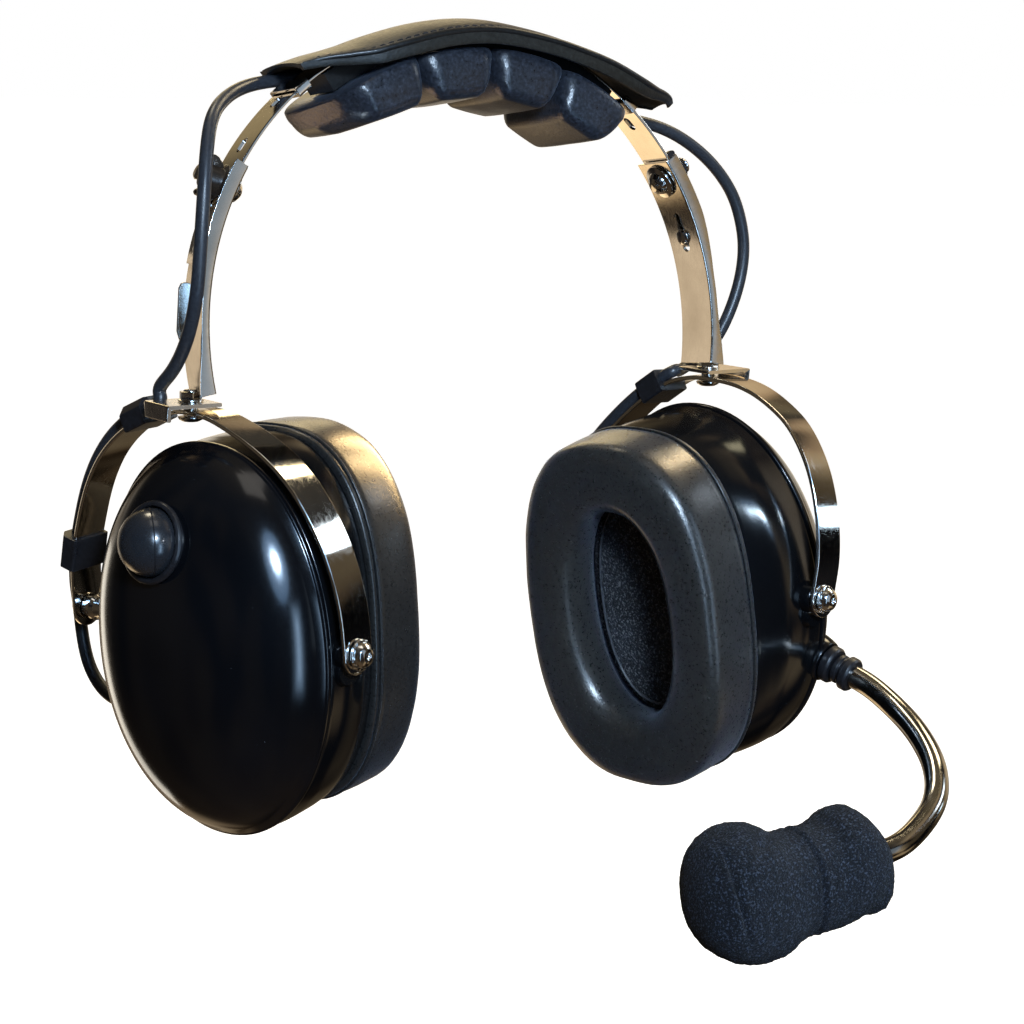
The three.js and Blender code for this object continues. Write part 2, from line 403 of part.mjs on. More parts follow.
for (const key of ["L", "R"]) {
  const { side, yoke, cup } = sideGroups(key), nm = key === "L" ? "left" : "right";

  // arm: a curved channel with its slot, screw hole and foot plate
  {
    // web with a deep front flange that shallows on the way down and flares again at the foot
    const web = arcSweep([[-ARM_HW, R_WEB0], [ARM_HW, R_WEB0], [ARM_HW, R_WEB1], [-ARM_HW, R_WEB1]], ARM_BOTTOM, ARM_TOP, 11, side);
    const FL = [[-10.9, 83.2], [-6, 81.9], [-1, 80.7], [3, 80.4], [8, 80.4], [13, 80.9], [18, 81.6], [22, 82], [28, 82], [34, 82]];
    const flange = skin(FL.map(([a, r]) => [[-ARM_HW, R_WEB0 + 0.4], [-ARM_IN, R_WEB0 + 0.4], [-ARM_IN, r], [-ARM_HW, r]].map(([y, rho]) => arcP(side, a, rho, y))));
    // rear tab that keeps the cable off the web
    const guard = skin([[0.2, 79.2], [2.5, 80.8], [10.6, 80.8], [11.4, 79.6]].map(([a, r]) => [[ARM_IN, R_WEB0 + 0.4], [ARM_HW, R_WEB0 + 0.4], [ARM_HW, r], [ARM_IN, r]].map(([y, rho]) => arcP(side, a, rho, y))));
    let g = join(web, flange);
    // foot: level plate with its outer end bent down as the swivel stop
    const plate = join(box(15.0, 14.0, 1.0, [side * 83.4, 0, 58.9]), box(1.0, 12.6, 4.0, [side * 90.4, 0, 57.2]));
    g = join(cut(join(g, guard), put(box(60, 60, 20, [side * 80, 0, 48.6]), unband)), put(plate, unband));
    g = cut(g, put(slotShape(11.4, 3.2, 6, 4), onArc(side, 18.15, 78.4)), put(cyl(2.1, -3, 3, 12), onArc(side, SCREW_A, 78.4)),
      put(cyl(2.2, 50, 64, 14).translate(side * SWIVEL_X, 0, 0), unband));
    mesh("arm_" + nm, g, M.steel, band);
  }
  // clamp screw: domed head inside, ball end outside
  mesh("clamp_screw_" + nm, put(lathe([[0, -5.3], [1.6, -5.1], [2.9, -4.2], [3.3, -3.0], [4.9, -2.75], [4.9, -2.0], [1.7, -2.0], [1.7, 6.3], [2.3, 6.3], [2.4, 7.0], [1.6, 7.7], [0, 7.9]], 12), onArc(side, SCREW_A, 79.7)), M.chrome, band);
  {
    let g = join(lathe([[0, 0.8], [5.1, 0.8], [5.1, 1.5], [3.7, 1.9], [3.3, 5.6], [0, 5.6]], 14),
      box(11.4, 2.4, 3.4, [0, 0, 4.4]), box(8.5, 2.4, 2, [0, 0, 2.4]));
    mesh("wing_nut_" + nm, put(cut(g, cyl(2.05, -1, 12, 12)), onArc(side, SCREW_A, 79.7)), M.plastic, band);
  }
  // swivel rivet through the foot plate and the yoke strap
  mesh("swivel_rivet_" + nm, lathe([[0, 54.2], [2.6, 54.4], [3.3, 55.2], [3.3, 55.6], [1.85, 55.6], [1.85, 59.75], [2.75, 59.75], [2.75, 61.6], [2.2, 62.2], [0, 62.5]], 14).translate(side * SWIVEL_X, 0, 0), M.chrome, root);

  // yoke strap and the two clips on its rear half
  mesh("yoke_" + nm, handed(strap(key, side), side), M.chrome, yoke);
  mesh("cable_clip_upper_" + nm, handed(cableClip(key, CLIP_UP[key], 8), side), M.plastic, yoke);
  mesh("cable_clip_lower_" + nm, handed(cableClip(key, CLIP_LOW, 9), side), M.plastic, yoke);

  // cup shell
  let dome = domeShell();
  if (key === "L") dome = cut(dome, put(cyl(9.75, -12, 8, 22), aim(BTN.at, BTN.n)));
  else {
    const boss = put(lathe([[0, -9], [6.4, -9], [6.4, -2.4], [6.0, -0.4], [5.6, 0], [0, 0]], 18), aim(GLAND.at, GLAND.dir));
    const hollow = skin([...domeRings(-DOME.t, [70, 46, 22]), ringAt(DOME.a - DOME.t, DOME.b - DOME.t, DOME.n, DOME.s, DOME.z, 0.1)], { pole0: V(DOME.s, -DOME.h + DOME.t, DOME.z) });
    dome = cut(join(dome, cut(boss, hollow)), put(cyl(4.3, -14, 3, 18), aim(GLAND.at, GLAND.dir)));
  }
  mesh("cup_shell_" + nm, handed(dome, side), M.shell, cup);
  // cup base with its pivot lugs and cable holes
  {
    const lugF = join(cyl(4.6, 39, 46.2, 14).rotateY(Math.PI / 2), skin([[39, 4.6], [44.6, 3.4]].map(([s, h]) => sup(4.3, h, 2.2, 12).map(([w, z]) => V(s, w, z - 5.2)))));
    const lugR = cyl(4.6, -35.3, -28, 14).rotateY(Math.PI / 2);
    const inner = skin([0, 2, 4].map((i) => baseRing(i, 2.05)));
    let g = join(baseShell(), cut(lugF, inner), cut(lugR, inner));
    const tools = [cyl(2.2, -60, 60, 12).rotateY(Math.PI / 2), cyl(3.95, -40, -20, 14).rotateY(Math.PI / 2).translate(0, GLAND_W, GLAND_Z), cyl(1.5, -60, -44, 10).translate(-8.5, SCREW_W, 0)];
    if (key === "R") tools.push(cyl(4.5, -60, -44, 16).translate(-10, LEAD_W, 0), put(cyl(6.75, -13, 3, 18), aim(GLAND.at, GLAND.dir)));
    mesh("cup_base_" + nm, handed(cut(g, ...tools), side), M.base, cup);
  }
  // back plate that carries the speaker, foam and ear seal
  {
    let g = skin(plateRings(0, 15.2, 17.3));
    const holes = [[0, 0], [9, 0], [-9, 0], [0, 9], [0, -9]].map(([s, z]) => cyl(2.6, 10, 20, 10).rotateX(-Math.PI / 2).translate(SEAL.s + s, 0, SEAL.z + z));
    mesh("seal_plate_" + nm, handed(cut(g, ...holes), side), M.plastic, cup);
  }
  mesh("ear_seal_" + nm, handed(cushion(), side), M.seal, cup);
  mesh("ear_foam_" + nm, handed(skin([ringAt(20.6, 34.0, 2.3, SEAL.s, SEAL.z, 17.7), ringAt(20.6, 34.0, 2.3, SEAL.s, SEAL.z, 20.4), ringAt(19.6, 33.0, 2.3, SEAL.s, SEAL.z, 21.4)]), side), M.foam, cup);
  mesh("speaker_" + nm, handed(lathe([[0, -14.9], [19, -14.9], [19, -12.6], [15, -11], [11, -9.6], [11, -5.2], [10.4, -4.6], [0, -4.6]], 18).rotateX(Math.PI / 2).translate(SEAL.s, 0, SEAL.z), side), M.magnet, cup);
  // pivot screws, and the spacer that fills the longer gap at the rear
  const screw = (from, tip) => lathe([[0, tip], [1.9, tip], [1.9, from], [3.9, from], [3.9, from + 0.65], [3.2, from + 0.65], [3.1, from + 1.9], [2.2, from + 2.7], [0, from + 2.9]], 14);
  mesh("pivot_screw_front_" + nm, handed(put(screw(48.1, 43.2), aim(V(0, 0, 0), V(1, 0, 0))), side), M.chrome, cup);
  mesh("pivot_screw_rear_" + nm, handed(put(screw(48.1, 31.5), aim(V(0, 0, 0), V(-1, 0, 0))), side), M.chrome, cup);
  mesh("pivot_spacer_" + nm, handed(put(lathe([[2.2, 35.6], [3.5, 35.6], [3.5, 38.5], [2.9, 39.1], [2.9, 42.8], [3.5, 43.4], [3.5, 46.2], [2.2, 46.2], [2.2, 35.6]], 14), aim(V(0, 0, 0), V(-1, 0, 0))), side), M.chrome, cup);
  mesh("cup_screw_" + nm, handed(lathe([[0, 51.9], [1.3, 51.7], [2.1, 51.0], [2.1, 50.2], [1.2, 50.2], [1.2, 46.5], [0, 46.5]], 12).rotateX(Math.PI).translate(-8.5, SCREW_W, 0), side), M.chrome, cup);
  // strain relief where the crossover cable enters the base
  mesh("cable_gland_" + nm, handed(put(lathe([[2.1, 24.2], [3.6, 24.2], [3.6, 31.2], [4.6, 31.2], [4.6, 32.4], [3.4, 33.2], [2.9, 37.4], [2.1, 37.6], [2.1, 24.2]], 14), aim(V(0, GLAND_W, GLAND_Z), V(-1, 0, 0))), side), M.plastic, cup);

  // crossover cable along the rear half of the yoke
  {
    const pts = [];
    for (let i = 0; i <= 9; i++) pts.push(strapPoint(key, lerp(9.6, CLIP_UP[key] + 5.5, i / 9), CAB_OFF, CAB_W[key]));
    mesh("cable_yoke_" + nm, handed(tube(pts, CABLE_R, 6), side), M.cable, yoke);
  }
  // loop from the lower clip round the pivot to the cup; drawn at rest in the yoke's axes
  {
    const inv = yoke.matrixWorld.clone().invert();
    const cupPt = (s, w, z) => { const p = worldOf(cup, V(s, side < 0 ? w : -w, z)).applyMatrix4(inv); return side < 0 ? p : V(p.x, -p.y, p.z); };
    const a = strapPoint(key, 8.9, CAB_OFF, CAB_W[key]), b = strapPoint(key, 6.2, CAB_OFF + 1.0, CAB_W[key] + 0.8);
    const pts = [a, b, V(-54.0, 8.4, -1), V(-53, 8.6, -10), V(-50.2, 8.4, -18), cupPt(-44.4, GLAND_W, -24.4), cupPt(-38.4, GLAND_W, GLAND_Z), cupPt(-33, GLAND_W, GLAND_Z), cupPt(-25, GLAND_W, GLAND_Z)];
    mesh("cable_loop_" + nm, handed(tube(pts, CABLE_R, 10), side), M.cable, yoke);
  }
  // free stretch from the upper clip up to the end of the cover
  {
    const w0 = worldOf(yoke, (() => { const p = strapPoint(key, CLIP_UP[key] + 6.2, CAB_OFF, CAB_W[key]); return side < 0 ? p : V(p.x, -p.y, p.z); })());
    const w1 = worldOf(yoke, (() => { const p = strapPoint(key, CLIP_UP[key] + 8.4, CAB_OFF + 0.3, CAB_W[key]); return side < 0 ? p : V(p.x, -p.y, p.z); })());
    const onBand = (a, rho, y) => arcP(side, a, rho, y).applyMatrix4(band.matrix);
    const mid = key === "L"
      ? [[-84.8, 12.7, 60.5], [-83.6, 5.4, 66.4], [-83.2, -2.6, 75.5], [-83.2, -8.0, 87], [-82.6, -9.2, 99], [-81.2, -8.4, 111], [-78.6, -5.0, 121.6], [-74.4, 0.4, 129.6], [-66.5, 8.0, 134.6], [-55.5, 15.2, 137.8]]
      : [[83.5, 16.2, 57], [91.0, 15.4, 61.5], [95.6, 15, 66], [98.3, 15, 70], [101.7, 15, 76.9], [104, 15, 84.3], [104.8, 15, 91.8], [103.9, 15, 97.8], [100.7, 15, 106.5], [95.4, 15, 113.4], [88.9, 15, 119], [80.3, 15.3, 124.2], [72.6, 16.2, 127.2], [65.6, 17.0, 128.6], [58.6, 17.4, 130.3]];
    const end = key === "L" ? [onBand(57.6, 79.6, 9.3), onBand(61.4, 77.7, 9.3)] : [onBand(46.5, 78.4, 9.4), onBand(50.2, 76.9, 9.3)];
    mesh("cable_span_" + nm, tube([w0, w1, ...mid.map((p) => V(...p)), ...end], CABLE_R, key === "L" ? 16 : 17), M.cable, root);
  }

  if (key === "L") {
    const f = aim(BTN.at, BTN.n);
    mesh("button_bezel", put(lathe([[8.95, -3.2], [9.4, -3.2], [9.4, 0.75], [10.5, 0.75], [10.5, 1.3], [9.9, 2.0], [8.95, 2.0], [8.95, -3.2]], 22), f), M.plastic, cup);
    mesh("push_button", put(lathe([[0, -3.0], [8.6, -3.0], [8.6, 1.2], [8.3, 3.4], [7.3, 5.6], [5.6, 7.5], [3.1, 8.8], [0, 9.3]], 22), f), M.shell, cup);
    mesh("button_switch", put(join(box(8, 8, 4, [0, 0, -8.4]), cyl(1.8, -6.5, -5.1, 10)), f), M.plastic, cup);
  } else {
    // down-lead inlet under the base; the lead itself is not part of the model
    mesh("lead_inlet", handed(lathe([[0, 46], [4.2, 46], [4.2, 50.6], [6.5, 50.6], [6.5, 55.4], [6.0, 56.2], [0, 56.2]], 20).rotateX(Math.PI).translate(-10, LEAD_W, 0), side), M.plastic, cup);
    // boom
    const f = aim(GLAND.at, GLAND.dir);
    mesh("boom_gland", handed(put(lathe([[3.0, -6], [4.0, -6], [4.0, 0.35], [5.3, 0.35], [5.3, 2.6], [4.7, 3.2], [3.0, 3.2], [3.0, -6]], 18), f), side), M.plastic, cup);
    mesh("boom_collar", handed(put(lathe([[0, -5.6], [2.7, -5.6], [2.7, 3.5], [4.0, 3.5], [4.2, 4.2], [4.2, 6.2], [4.9, 6.7], [4.9, 8.6], [4.3, 9.2], [0, 9.2]], 18), f), side), M.plastic, cup);
    const q = GLAND.at.clone().addScaledVector(GLAND.dir, 9.5); q.y = -q.y;
    const g2 = GLAND.at.clone().addScaledVector(GLAND.dir, 13.5); g2.y = -g2.y;
    const P0 = worldOf(cup, q), P1 = worldOf(cup, g2);
    const END = V(66, -101, -54), TIP = V(18, -96, -60.5), ax = TIP.clone().sub(END).normalize();
    const pts = [P0, P1, V(101.5, -63, -30.4), V(98.5, -75.2, -34.7), V(94, -86, -39.9), V(87.5, -93.7, -45.7), V(77.5, -98.6, -50.6), END.clone().addScaledVector(ax, -1.5), END.clone().addScaledVector(ax, 8.0)];
    mesh("boom_tube", tube(pts, BOOM_R, 15, 10), M.boom, root);
    const mf = aim(END, ax, V(0, 0, 1));
    mesh("mic_capsule", put(skin([[8.4, 4.3, 4.3, 2], [11, 5.2, 4.4, 2.3], [14, 6.0, 4.6, 2.8], [38, 6.0, 4.6, 2.8], [41, 5.0, 3.8, 2.4]].map(([h, a, b, n]) => sup(a, b, n, 16).map(([x, y]) => V(x, y, h)))), mf), M.plastic, root);
    // windscreen: two soft bulbs on one sleeve
    const prof = [[4.9, 9.5, 8.5], [6.8, 13.0, 11.2], [11, 15.0, 12.6], [17, 15.5, 13], [23, 14.4, 12.3], [27.5, 12.8, 11.5], [29.7, 12.4, 11.4], [32, 13.4, 12.2], [37, 16.3, 13.8], [43, 18.0, 15], [49, 17.4, 14.6], [54, 14.6, 12.8], [57.8, 9.4, 8.8]];
    const outer = skin(prof.map(([h, a, b]) => sup(a, b, 2.25, 18).map(([x, y]) => V(x, y, h))), { pole1: V(0, 0, 59.2), pole0: V(0, 0, 4.6) });
    const bore = skin([[2, 3.9, 3.9], [7.8, 3.9, 3.9], [8.0, 6.6, 5.2], [41.6, 6.6, 5.2]].map(([h, a, b]) => sup(a, b, 2.6, 16).map(([x, y]) => V(x, y, h))));
    mesh("windscreen", put(cut(outer, bore), mf), M.wind, root);
  }
}
// crossover cable where it lies under the cover
{
  const pts = [];
  for (let i = 0; i <= 10; i++) pts.push(arcP(1, lerp(51.6, 117.4, i / 10), table(lerp(51.6, 117.4, i / 10), [0, 110, 117.4, 118], [76.8, 76.8, 77.3, 77.4]), 9.3).applyMatrix4(band.matrix));
  mesh("cable_center", tube(pts, CABLE_R, 12), M.cable, root);
}

export default root;
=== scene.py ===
import math
import bpy
import bmesh
import numpy as np
from mathutils import Matrix, Vector, noise


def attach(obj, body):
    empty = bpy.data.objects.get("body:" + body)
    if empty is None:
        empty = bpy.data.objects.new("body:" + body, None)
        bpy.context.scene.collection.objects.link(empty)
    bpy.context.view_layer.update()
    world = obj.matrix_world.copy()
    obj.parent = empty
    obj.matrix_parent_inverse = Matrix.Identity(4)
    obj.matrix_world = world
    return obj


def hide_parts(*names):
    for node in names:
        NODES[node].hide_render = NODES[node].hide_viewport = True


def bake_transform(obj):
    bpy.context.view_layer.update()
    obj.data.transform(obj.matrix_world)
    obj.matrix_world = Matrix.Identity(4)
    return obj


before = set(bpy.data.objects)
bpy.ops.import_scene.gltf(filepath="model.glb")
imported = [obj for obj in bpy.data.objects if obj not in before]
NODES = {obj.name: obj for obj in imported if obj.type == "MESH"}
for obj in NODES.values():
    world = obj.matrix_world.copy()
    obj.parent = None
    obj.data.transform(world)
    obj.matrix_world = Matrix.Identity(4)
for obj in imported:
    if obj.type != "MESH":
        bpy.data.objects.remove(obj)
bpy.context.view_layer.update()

D = math.pi / 180
rng = np.random.default_rng(7)

# ------------------------------------------------------------------ camera
CAM_POS = (-0.37059, -0.59153, 0.13999)
CAM_F = Vector((0.53896, 0.82641, -0.16303))
CAM_R = Vector((0.83841, -0.54496, 0.00922))
CAM_U = Vector((0.08123, 0.14166, 0.98658))
cam_data = bpy.data.cameras.new("camera")
cam_data.lens = 92.31
cam_data.sensor_width = 36.0
cam_data.clip_start = 0.02
cam_data.clip_end = 50
cam = bpy.data.objects.new("camera", cam_data)
m = Matrix.Identity(4)
for i in range(3):
    m[i][0], m[i][1], m[i][2], m[i][3] = CAM_R[i], CAM_U[i], -CAM_F[i], CAM_POS[i]
cam.matrix_world = m
bpy.context.scene.collection.objects.link(cam)
bpy.context.scene.camera = cam

# ------------------------------------------------------------------ driving dimensions, mm
BAND_Z0, BAND_LEAN, ARC_Z = 57.0, 5.73, 16.5
R_WEB0, R_WEB1, R_STRIP0, R_STRIP1 = 78.0, 78.9, 79.3, 80.1
ARM_HW, ARM_IN, STRIP_HW, ARM_TOP, ARM_BOTTOM, STRIP_END = 7.0, 6.2, 5.9, 34.0, -10.9, 14.8
SCREW_A, PIN_A = 29.8, 17.2
YOKE_X, SWIVEL_X, YOKE_H, YOKE_B, STRAP_W, STRAP_T, PIVOT_W = 78.49, 81.2, 57.0, 47.16, 10.3, 1.2, 5.21
TURN = {"L": 19.84, "R": -15.77}
TILT = {"L": 3.33, "R": -10.84}
SPLIT_W = -5.3
DOME = dict(a=37.8, b=51.1, h=25.8, m=2.34, n=2.07, s=5.4, z=-0.9, t=2.0)
SEAL = dict(a=33.36, b=50.0, n=2.53, s=4.74, z=0.58, w0=17.9, w1=38.73, oa=16.26, ob=29.71, on=2.3)
CABLE_R, BOOM_R = 1.75, 3.25
CAB_OFF, CAB_W, CLIP_LOW = 2.7, {"L": -1.2, "R": 3.2}, 15.5
GLAND_W, GLAND_Z, SCREW_W, LEAD_W = 2.0, -26.0, -1.5, 9.0


def V(*a):
    return np.array(a, float)


def unit(v):
    v = np.asarray(v, float)
    return v / np.linalg.norm(v)


def lerp(a, b, t):
    return a + (b - a) * t


def smooth(t):
    t = min(1.0, max(0.0, t))
    return t * t * (3 - 2 * t)


def mono(x, xs, ys):
    """smooth monotone interpolation through a table"""
    xs, ys = np.asarray(xs, float), np.asarray(ys, float)
    x = float(np.clip(x, xs[0], xs[-1]))
    h, d = np.diff(xs), np.diff(ys) / np.diff(xs)
    k = np.zeros(len(xs))
    k[0], k[-1] = d[0], d[-1]
    for i in range(1, len(xs) - 1):
        if d[i - 1] * d[i] > 0:
            w1, w2 = 2 * h[i] + h[i - 1], h[i] + 2 * h[i - 1]
            k[i] = (w1 + w2) / (w1 / d[i - 1] + w2 / d[i])
    i = int(np.clip(np.searchsorted(xs, x) - 1, 0, len(h) - 1))
    t = (x - xs[i]) / h[i]
    return (2 * t**3 - 3 * t**2 + 1) * ys[i] + (t**3 - 2 * t**2 + t) * h[i] * k[i] + (-2 * t**3 + 3 * t**2) * ys[i + 1] + (t**3 - t**2) * h[i] * k[i + 1]


def frame4(x, y, z, at):
    f = np.eye(4)
    f[:3, 0], f[:3, 1], f[:3, 2], f[:3, 3] = x, y, z, at
    return f


def aim(at, d, hint=(0, 1, 0)):
    z = unit(d)
    hint = np.asarray(hint, float)
    x = unit(hint - z * hint.dot(z))
    return frame4(x, np.cross(z, x), z, at)


def tf(mat, pts):
    pts = np.asarray(pts, float)
    return pts @ mat[:3, :3].T + mat[:3, 3]


# frames of the band, the yokes and the cups
c, s = math.cos(-BAND_LEAN * D), math.sin(-BAND_LEAN * D)
BAND = np.array([[1, 0, 0, 0], [0, c, -s, 0], [0, s, c, BAND_Z0], [0, 0, 0, 1]], float)
SIDE = {"L": -1, "R": 1}
NAME = {"L": "left", "R": "right"}
YOKE, CUP = {}, {}
for key, sd in SIDE.items():
    ph = TURN[key] * D
    t = V(-sd * math.sin(ph), -math.cos(ph), 0)
    up = V(0, 0, 1)
    YOKE[key] = frame4(t, np.cross(up, t), up, V(sd * YOKE_X, 0, 0))
    a = -sd * TILT[key] * D
    rx = np.array([[1, 0, 0, 0], [0, math.cos(a), -math.sin(a), -sd * PIVOT_W], [0, math.sin(a), math.cos(a), 0], [0, 0, 0, 1]], float)
    CUP[key] = YOKE[key] @ rx
FLIP = {"L": np.eye(4), "R": np.diag([1.0, -1.0, 1.0, 1.0])}
YK = {k: YOKE[k] @ FLIP[k] for k in "LR"}  # (s forward, w inward, z up) to world
CP = {k: CUP[k] @ FLIP[k] for k in "LR"}


def arc_p(side, a, rho, y):
    return tf(BAND, V(side * rho * math.cos(a * D), y, ARC_Z + rho * math.sin(a * D)))


def on_arc(side, a, rho, y=0.0):
    z = V(side * math.cos(a * D), 0, math.sin(a * D))
    yy = V(0, 1, 0)
    return BAND @ frame4(np.cross(yy, z), yy, z, V(side * rho * math.cos(a * D), y, ARC_Z + rho * math.sin(a * D)))


# ------------------------------------------------------------------ materials
MATS = {}


def material(name, color, rough, metal=0.0, spec=0.5, coat=0.0, coat_rough=0.1, sheen=0.0, aniso=0.0):
    mt = bpy.data.materials.new(name)
    mt.use_nodes = True
    nt = mt.node_tree
    b = nt.nodes["Principled BSDF"]
    b.inputs["Base Color"].default_value = (*color, 1)
    b.inputs["Roughness"].default_value = rough
    b.inputs["Metallic"].default_value = metal
    b.inputs["Specular IOR Level"].default_value = spec
    b.inputs["Coat Weight"].default_value = coat
    b.inputs["Coat Roughness"].default_value = coat_rough
    b.inputs["Sheen Weight"].default_value = sheen
    b.inputs["Sheen Roughness"].default_value = 0.45
    b.inputs["Anisotropic"].default_value = aniso
    MATS[name] = mt
    return mt, nt, b


def node(nt, kind, **k):
    n = nt.nodes.new(kind)
    for key, v in k.items():
        if key in n.inputs:
            n.inputs[key].default_value = v
        else:
            setattr(n, key, v)
    return n


def coords(nt, scale=(1, 1, 1)):
    tc = nt.nodes.new("ShaderNodeTexCoord")
    if scale == (1, 1, 1):
        return tc.outputs["Object"]
    mp = nt.nodes.new("ShaderNodeMapping")
    mp.inputs["Scale"].default_value = scale
    nt.links.new(tc.outputs["Object"], mp.inputs["Vector"])
    return mp.outputs["Vector"]


def ramp(nt, src, stops, interp="LINEAR"):
    r = nt.nodes.new("ShaderNodeValToRGB")
    r.color_ramp.interpolation = interp
    e = r.color_ramp.elements
    while len(e) < len(stops):
        e.new(0.5)
    for i, (p, col) in enumerate(stops):
        e[i].position = p
        e[i].color = (*col, 1) if len(col) == 3 else col
    nt.links.new(src, r.inputs["Fac"])
    return r.outputs["Color"]


def to_rough(nt, b, src, lo, hi):
    mr = nt.nodes.new("ShaderNodeMapRange")
    mr.inputs["From Min"].default_value = 0.3
    mr.inputs["From Max"].default_value = 0.7
    mr.inputs["To Min"].default_value = lo
    mr.inputs["To Max"].default_value = hi
    nt.links.new(src, mr.inputs["Value"])
    nt.links.new(mr.outputs["Result"], b.inputs["Roughness"])


def bump(nt, b, src, strength, dist, after=None):
    bp = nt.nodes.new("ShaderNodeBump")
    bp.inputs["Strength"].default_value = strength
    bp.inputs["Distance"].default_value = dist
    nt.links.new(src, bp.inputs["Height"])
    if after is not None:
        nt.links.new(after, bp.inputs["Normal"])
    nt.links.new(bp.outputs["Normal"], b.inputs["Normal"])
    return bp.outputs["Normal"]


def noise_tex(nt, vec, scale, detail=4, rough=0.55):
    n = nt.nodes.new("ShaderNodeTexNoise")
    n.inputs["Scale"].default_value = scale
    n.inputs["Detail"].default_value = detail
    n.inputs["Roughness"].default_value = rough
    nt.links.new(vec, n.inputs["Vector"])
    return n.outputs["Fac"]


def voro(nt, vec, scale, feature="F1", out="Distance"):
    n = nt.nodes.new("ShaderNodeTexVoronoi")
    n.feature = feature
    n.inputs["Scale"].default_value = scale
    nt.links.new(vec, n.inputs["Vector"])
    return n.outputs[out]


def mat_metal(name, lo, hi, r0, r1, fine=900, brush=None):
    mt, nt, b = material(name, hi, r0, 1.0)
    v = coords(nt)
    n1 = noise_tex(nt, v, 60, 5)
    nt.links.new(ramp(nt, n1, [(0.3, lo), (0.65, hi)]), b.inputs["Base Color"])
    n2 = noise_tex(nt, coords(nt, brush) if brush else v, fine, 3)
    to_rough(nt, b, n2, r0, r1)
    bump(nt, b, n2, 0.05, 0.00005)
    return mt


mat_metal("chrome", (0.66, 0.63, 0.58), (0.82, 0.80, 0.77), 0.05, 0.13)
mat_metal("arm_steel", (0.60, 0.56, 0.50), (0.80, 0.76, 0.70), 0.10, 0.22, 500, (1, 6, 1))
mat_metal("screw_chrome", (0.60, 0.58, 0.55), (0.88, 0.87, 0.85), 0.06, 0.16, 1500)
mat_metal("boom_chrome", (0.26, 0.25, 0.235), (0.40, 0.385, 0.36), 0.10, 0.19, 700)
mat_metal("speaker_steel", (0.30, 0.30, 0.31), (0.42, 0.42, 0.43), 0.30, 0.45)


def mat_gloss(name, color, r0, r1, coat=0.6):
    mt, nt, b = material(name, color, r0, 0.0, 0.5, coat, 0.085)
    v = coords(nt)
    big = noise_tex(nt, v, 25, 3)
    fine = noise_tex(nt, v, 700, 6, 0.7)
    to_rough(nt, b, fine, r0, r1)
    # dust specks
    sp = voro(nt, v, 420)
    dust = ramp(nt, sp, [(0.0, (1, 1, 1)), (0.035, (1, 1, 1)), (0.05, (0, 0, 0))])
    gate = ramp(nt, noise_tex(nt, v, 55, 2), [(0.62, (0, 0, 0)), (0.70, (1, 1, 1))])
    mul = node(nt, "ShaderNodeMix", data_type="RGBA", blend_type="MULTIPLY")
    mul.inputs[0].default_value = 1.0
    nt.links.new(dust, mul.inputs[6])
    nt.links.new(gate, mul.inputs[7])
    base = ramp(nt, big, [(0.3, tuple(x * 0.8 for x in color)), (0.7, tuple(x * 1.5 for x in color))])
    mix = node(nt, "ShaderNodeMix", data_type="RGBA")
    nt.links.new(mul.outputs[2], mix.inputs[0])
    nt.links.new(base, mix.inputs[6])
    mix.inputs[7].default_value = (0.16, 0.17, 0.19, 1)
    nt.links.new(mix.outputs[2], b.inputs["Base Color"])
    bump(nt, b, noise_tex(nt, v, 90, 2), 0.03, 0.0002)
    return mt


mat_gloss("gloss_black", (0.0024, 0.0027, 0.0036), 0.13, 0.17, 0.1)
mat_gloss("gloss_base", (0.0024, 0.0027, 0.0034), 0.13, 0.18, 0.05)
mat_gloss("button_black", (0.011, 0.012, 0.0145), 0.20, 0.32, 0.4)


def mat_skin(name, dark, light, grain=1500, r0=0.38, r1=0.55, bumpy=0.35, wave=0.05, sheen=0.25, spec=0.5):
    """leather or leatherette: fine pebble grain over soft undulation, with worn light specks"""
    mt, nt, b = material(name, dark, r0, 0.0, spec, 0.0, 0.2, sheen)
    b.inputs["Sheen Tint"].default_value = (0.55, 0.65, 0.85, 1)
    v = coords(nt)
    cells = voro(nt, v, grain)
    fine = noise_tex(nt, v, grain * 0.8, 5, 0.6)
    wide = noise_tex(nt, v, 45, 4)
    mix = node(nt, "ShaderNodeMix", data_type="FLOAT")
    mix.inputs[0].default_value = 0.5
    nt.links.new(cells, mix.inputs[2])
    nt.links.new(fine, mix.inputs[3])
    col = ramp(nt, fine, [(0.32, dark), (0.55, tuple(lerp(d, l, 0.4) for d, l in zip(dark, light))), (0.74, light)])
    mul = node(nt, "ShaderNodeMix", data_type="RGBA", blend_type="MULTIPLY")
    mul.inputs[0].default_value = 0.6
    nt.links.new(col, mul.inputs[6])
    nt.links.new(ramp(nt, wide, [(0.3, (0.7, 0.7, 0.72)), (0.7, (1.2, 1.2, 1.2))]), mul.inputs[7])
    nt.links.new(mul.outputs[2], b.inputs["Base Color"])
    to_rough(nt, b, fine, r0, r1)
    n1 = bump(nt, b, mix.outputs[0], bumpy, 0.00025)
    bump(nt, b, wide, wave, 0.0012, n1)
    return mt


mat_skin("seal_leatherette", (0.0095, 0.0092, 0.0086), (0.023, 0.022, 0.0205), 1500, 0.26, 0.32, 0.20, 0.02, 0.10)
mat_skin("pad_leatherette", (0.006, 0.0068, 0.009), (0.036, 0.042, 0.058), 1400, 0.27, 0.37, 0.28, 0.02, 0.10)
mat_skin("cover_leather", (0.007, 0.0065, 0.005), (0.020, 0.018, 0.013), 1300, 0.34, 0.48, 0.30, 0.05, 0.05, 0.45)
mat_skin("piping_leather", (0.005, 0.005, 0.005), (0.011, 0.011, 0.011), 1300, 0.28, 0.40, 0.2, 0.02, 0.05, 0.4)


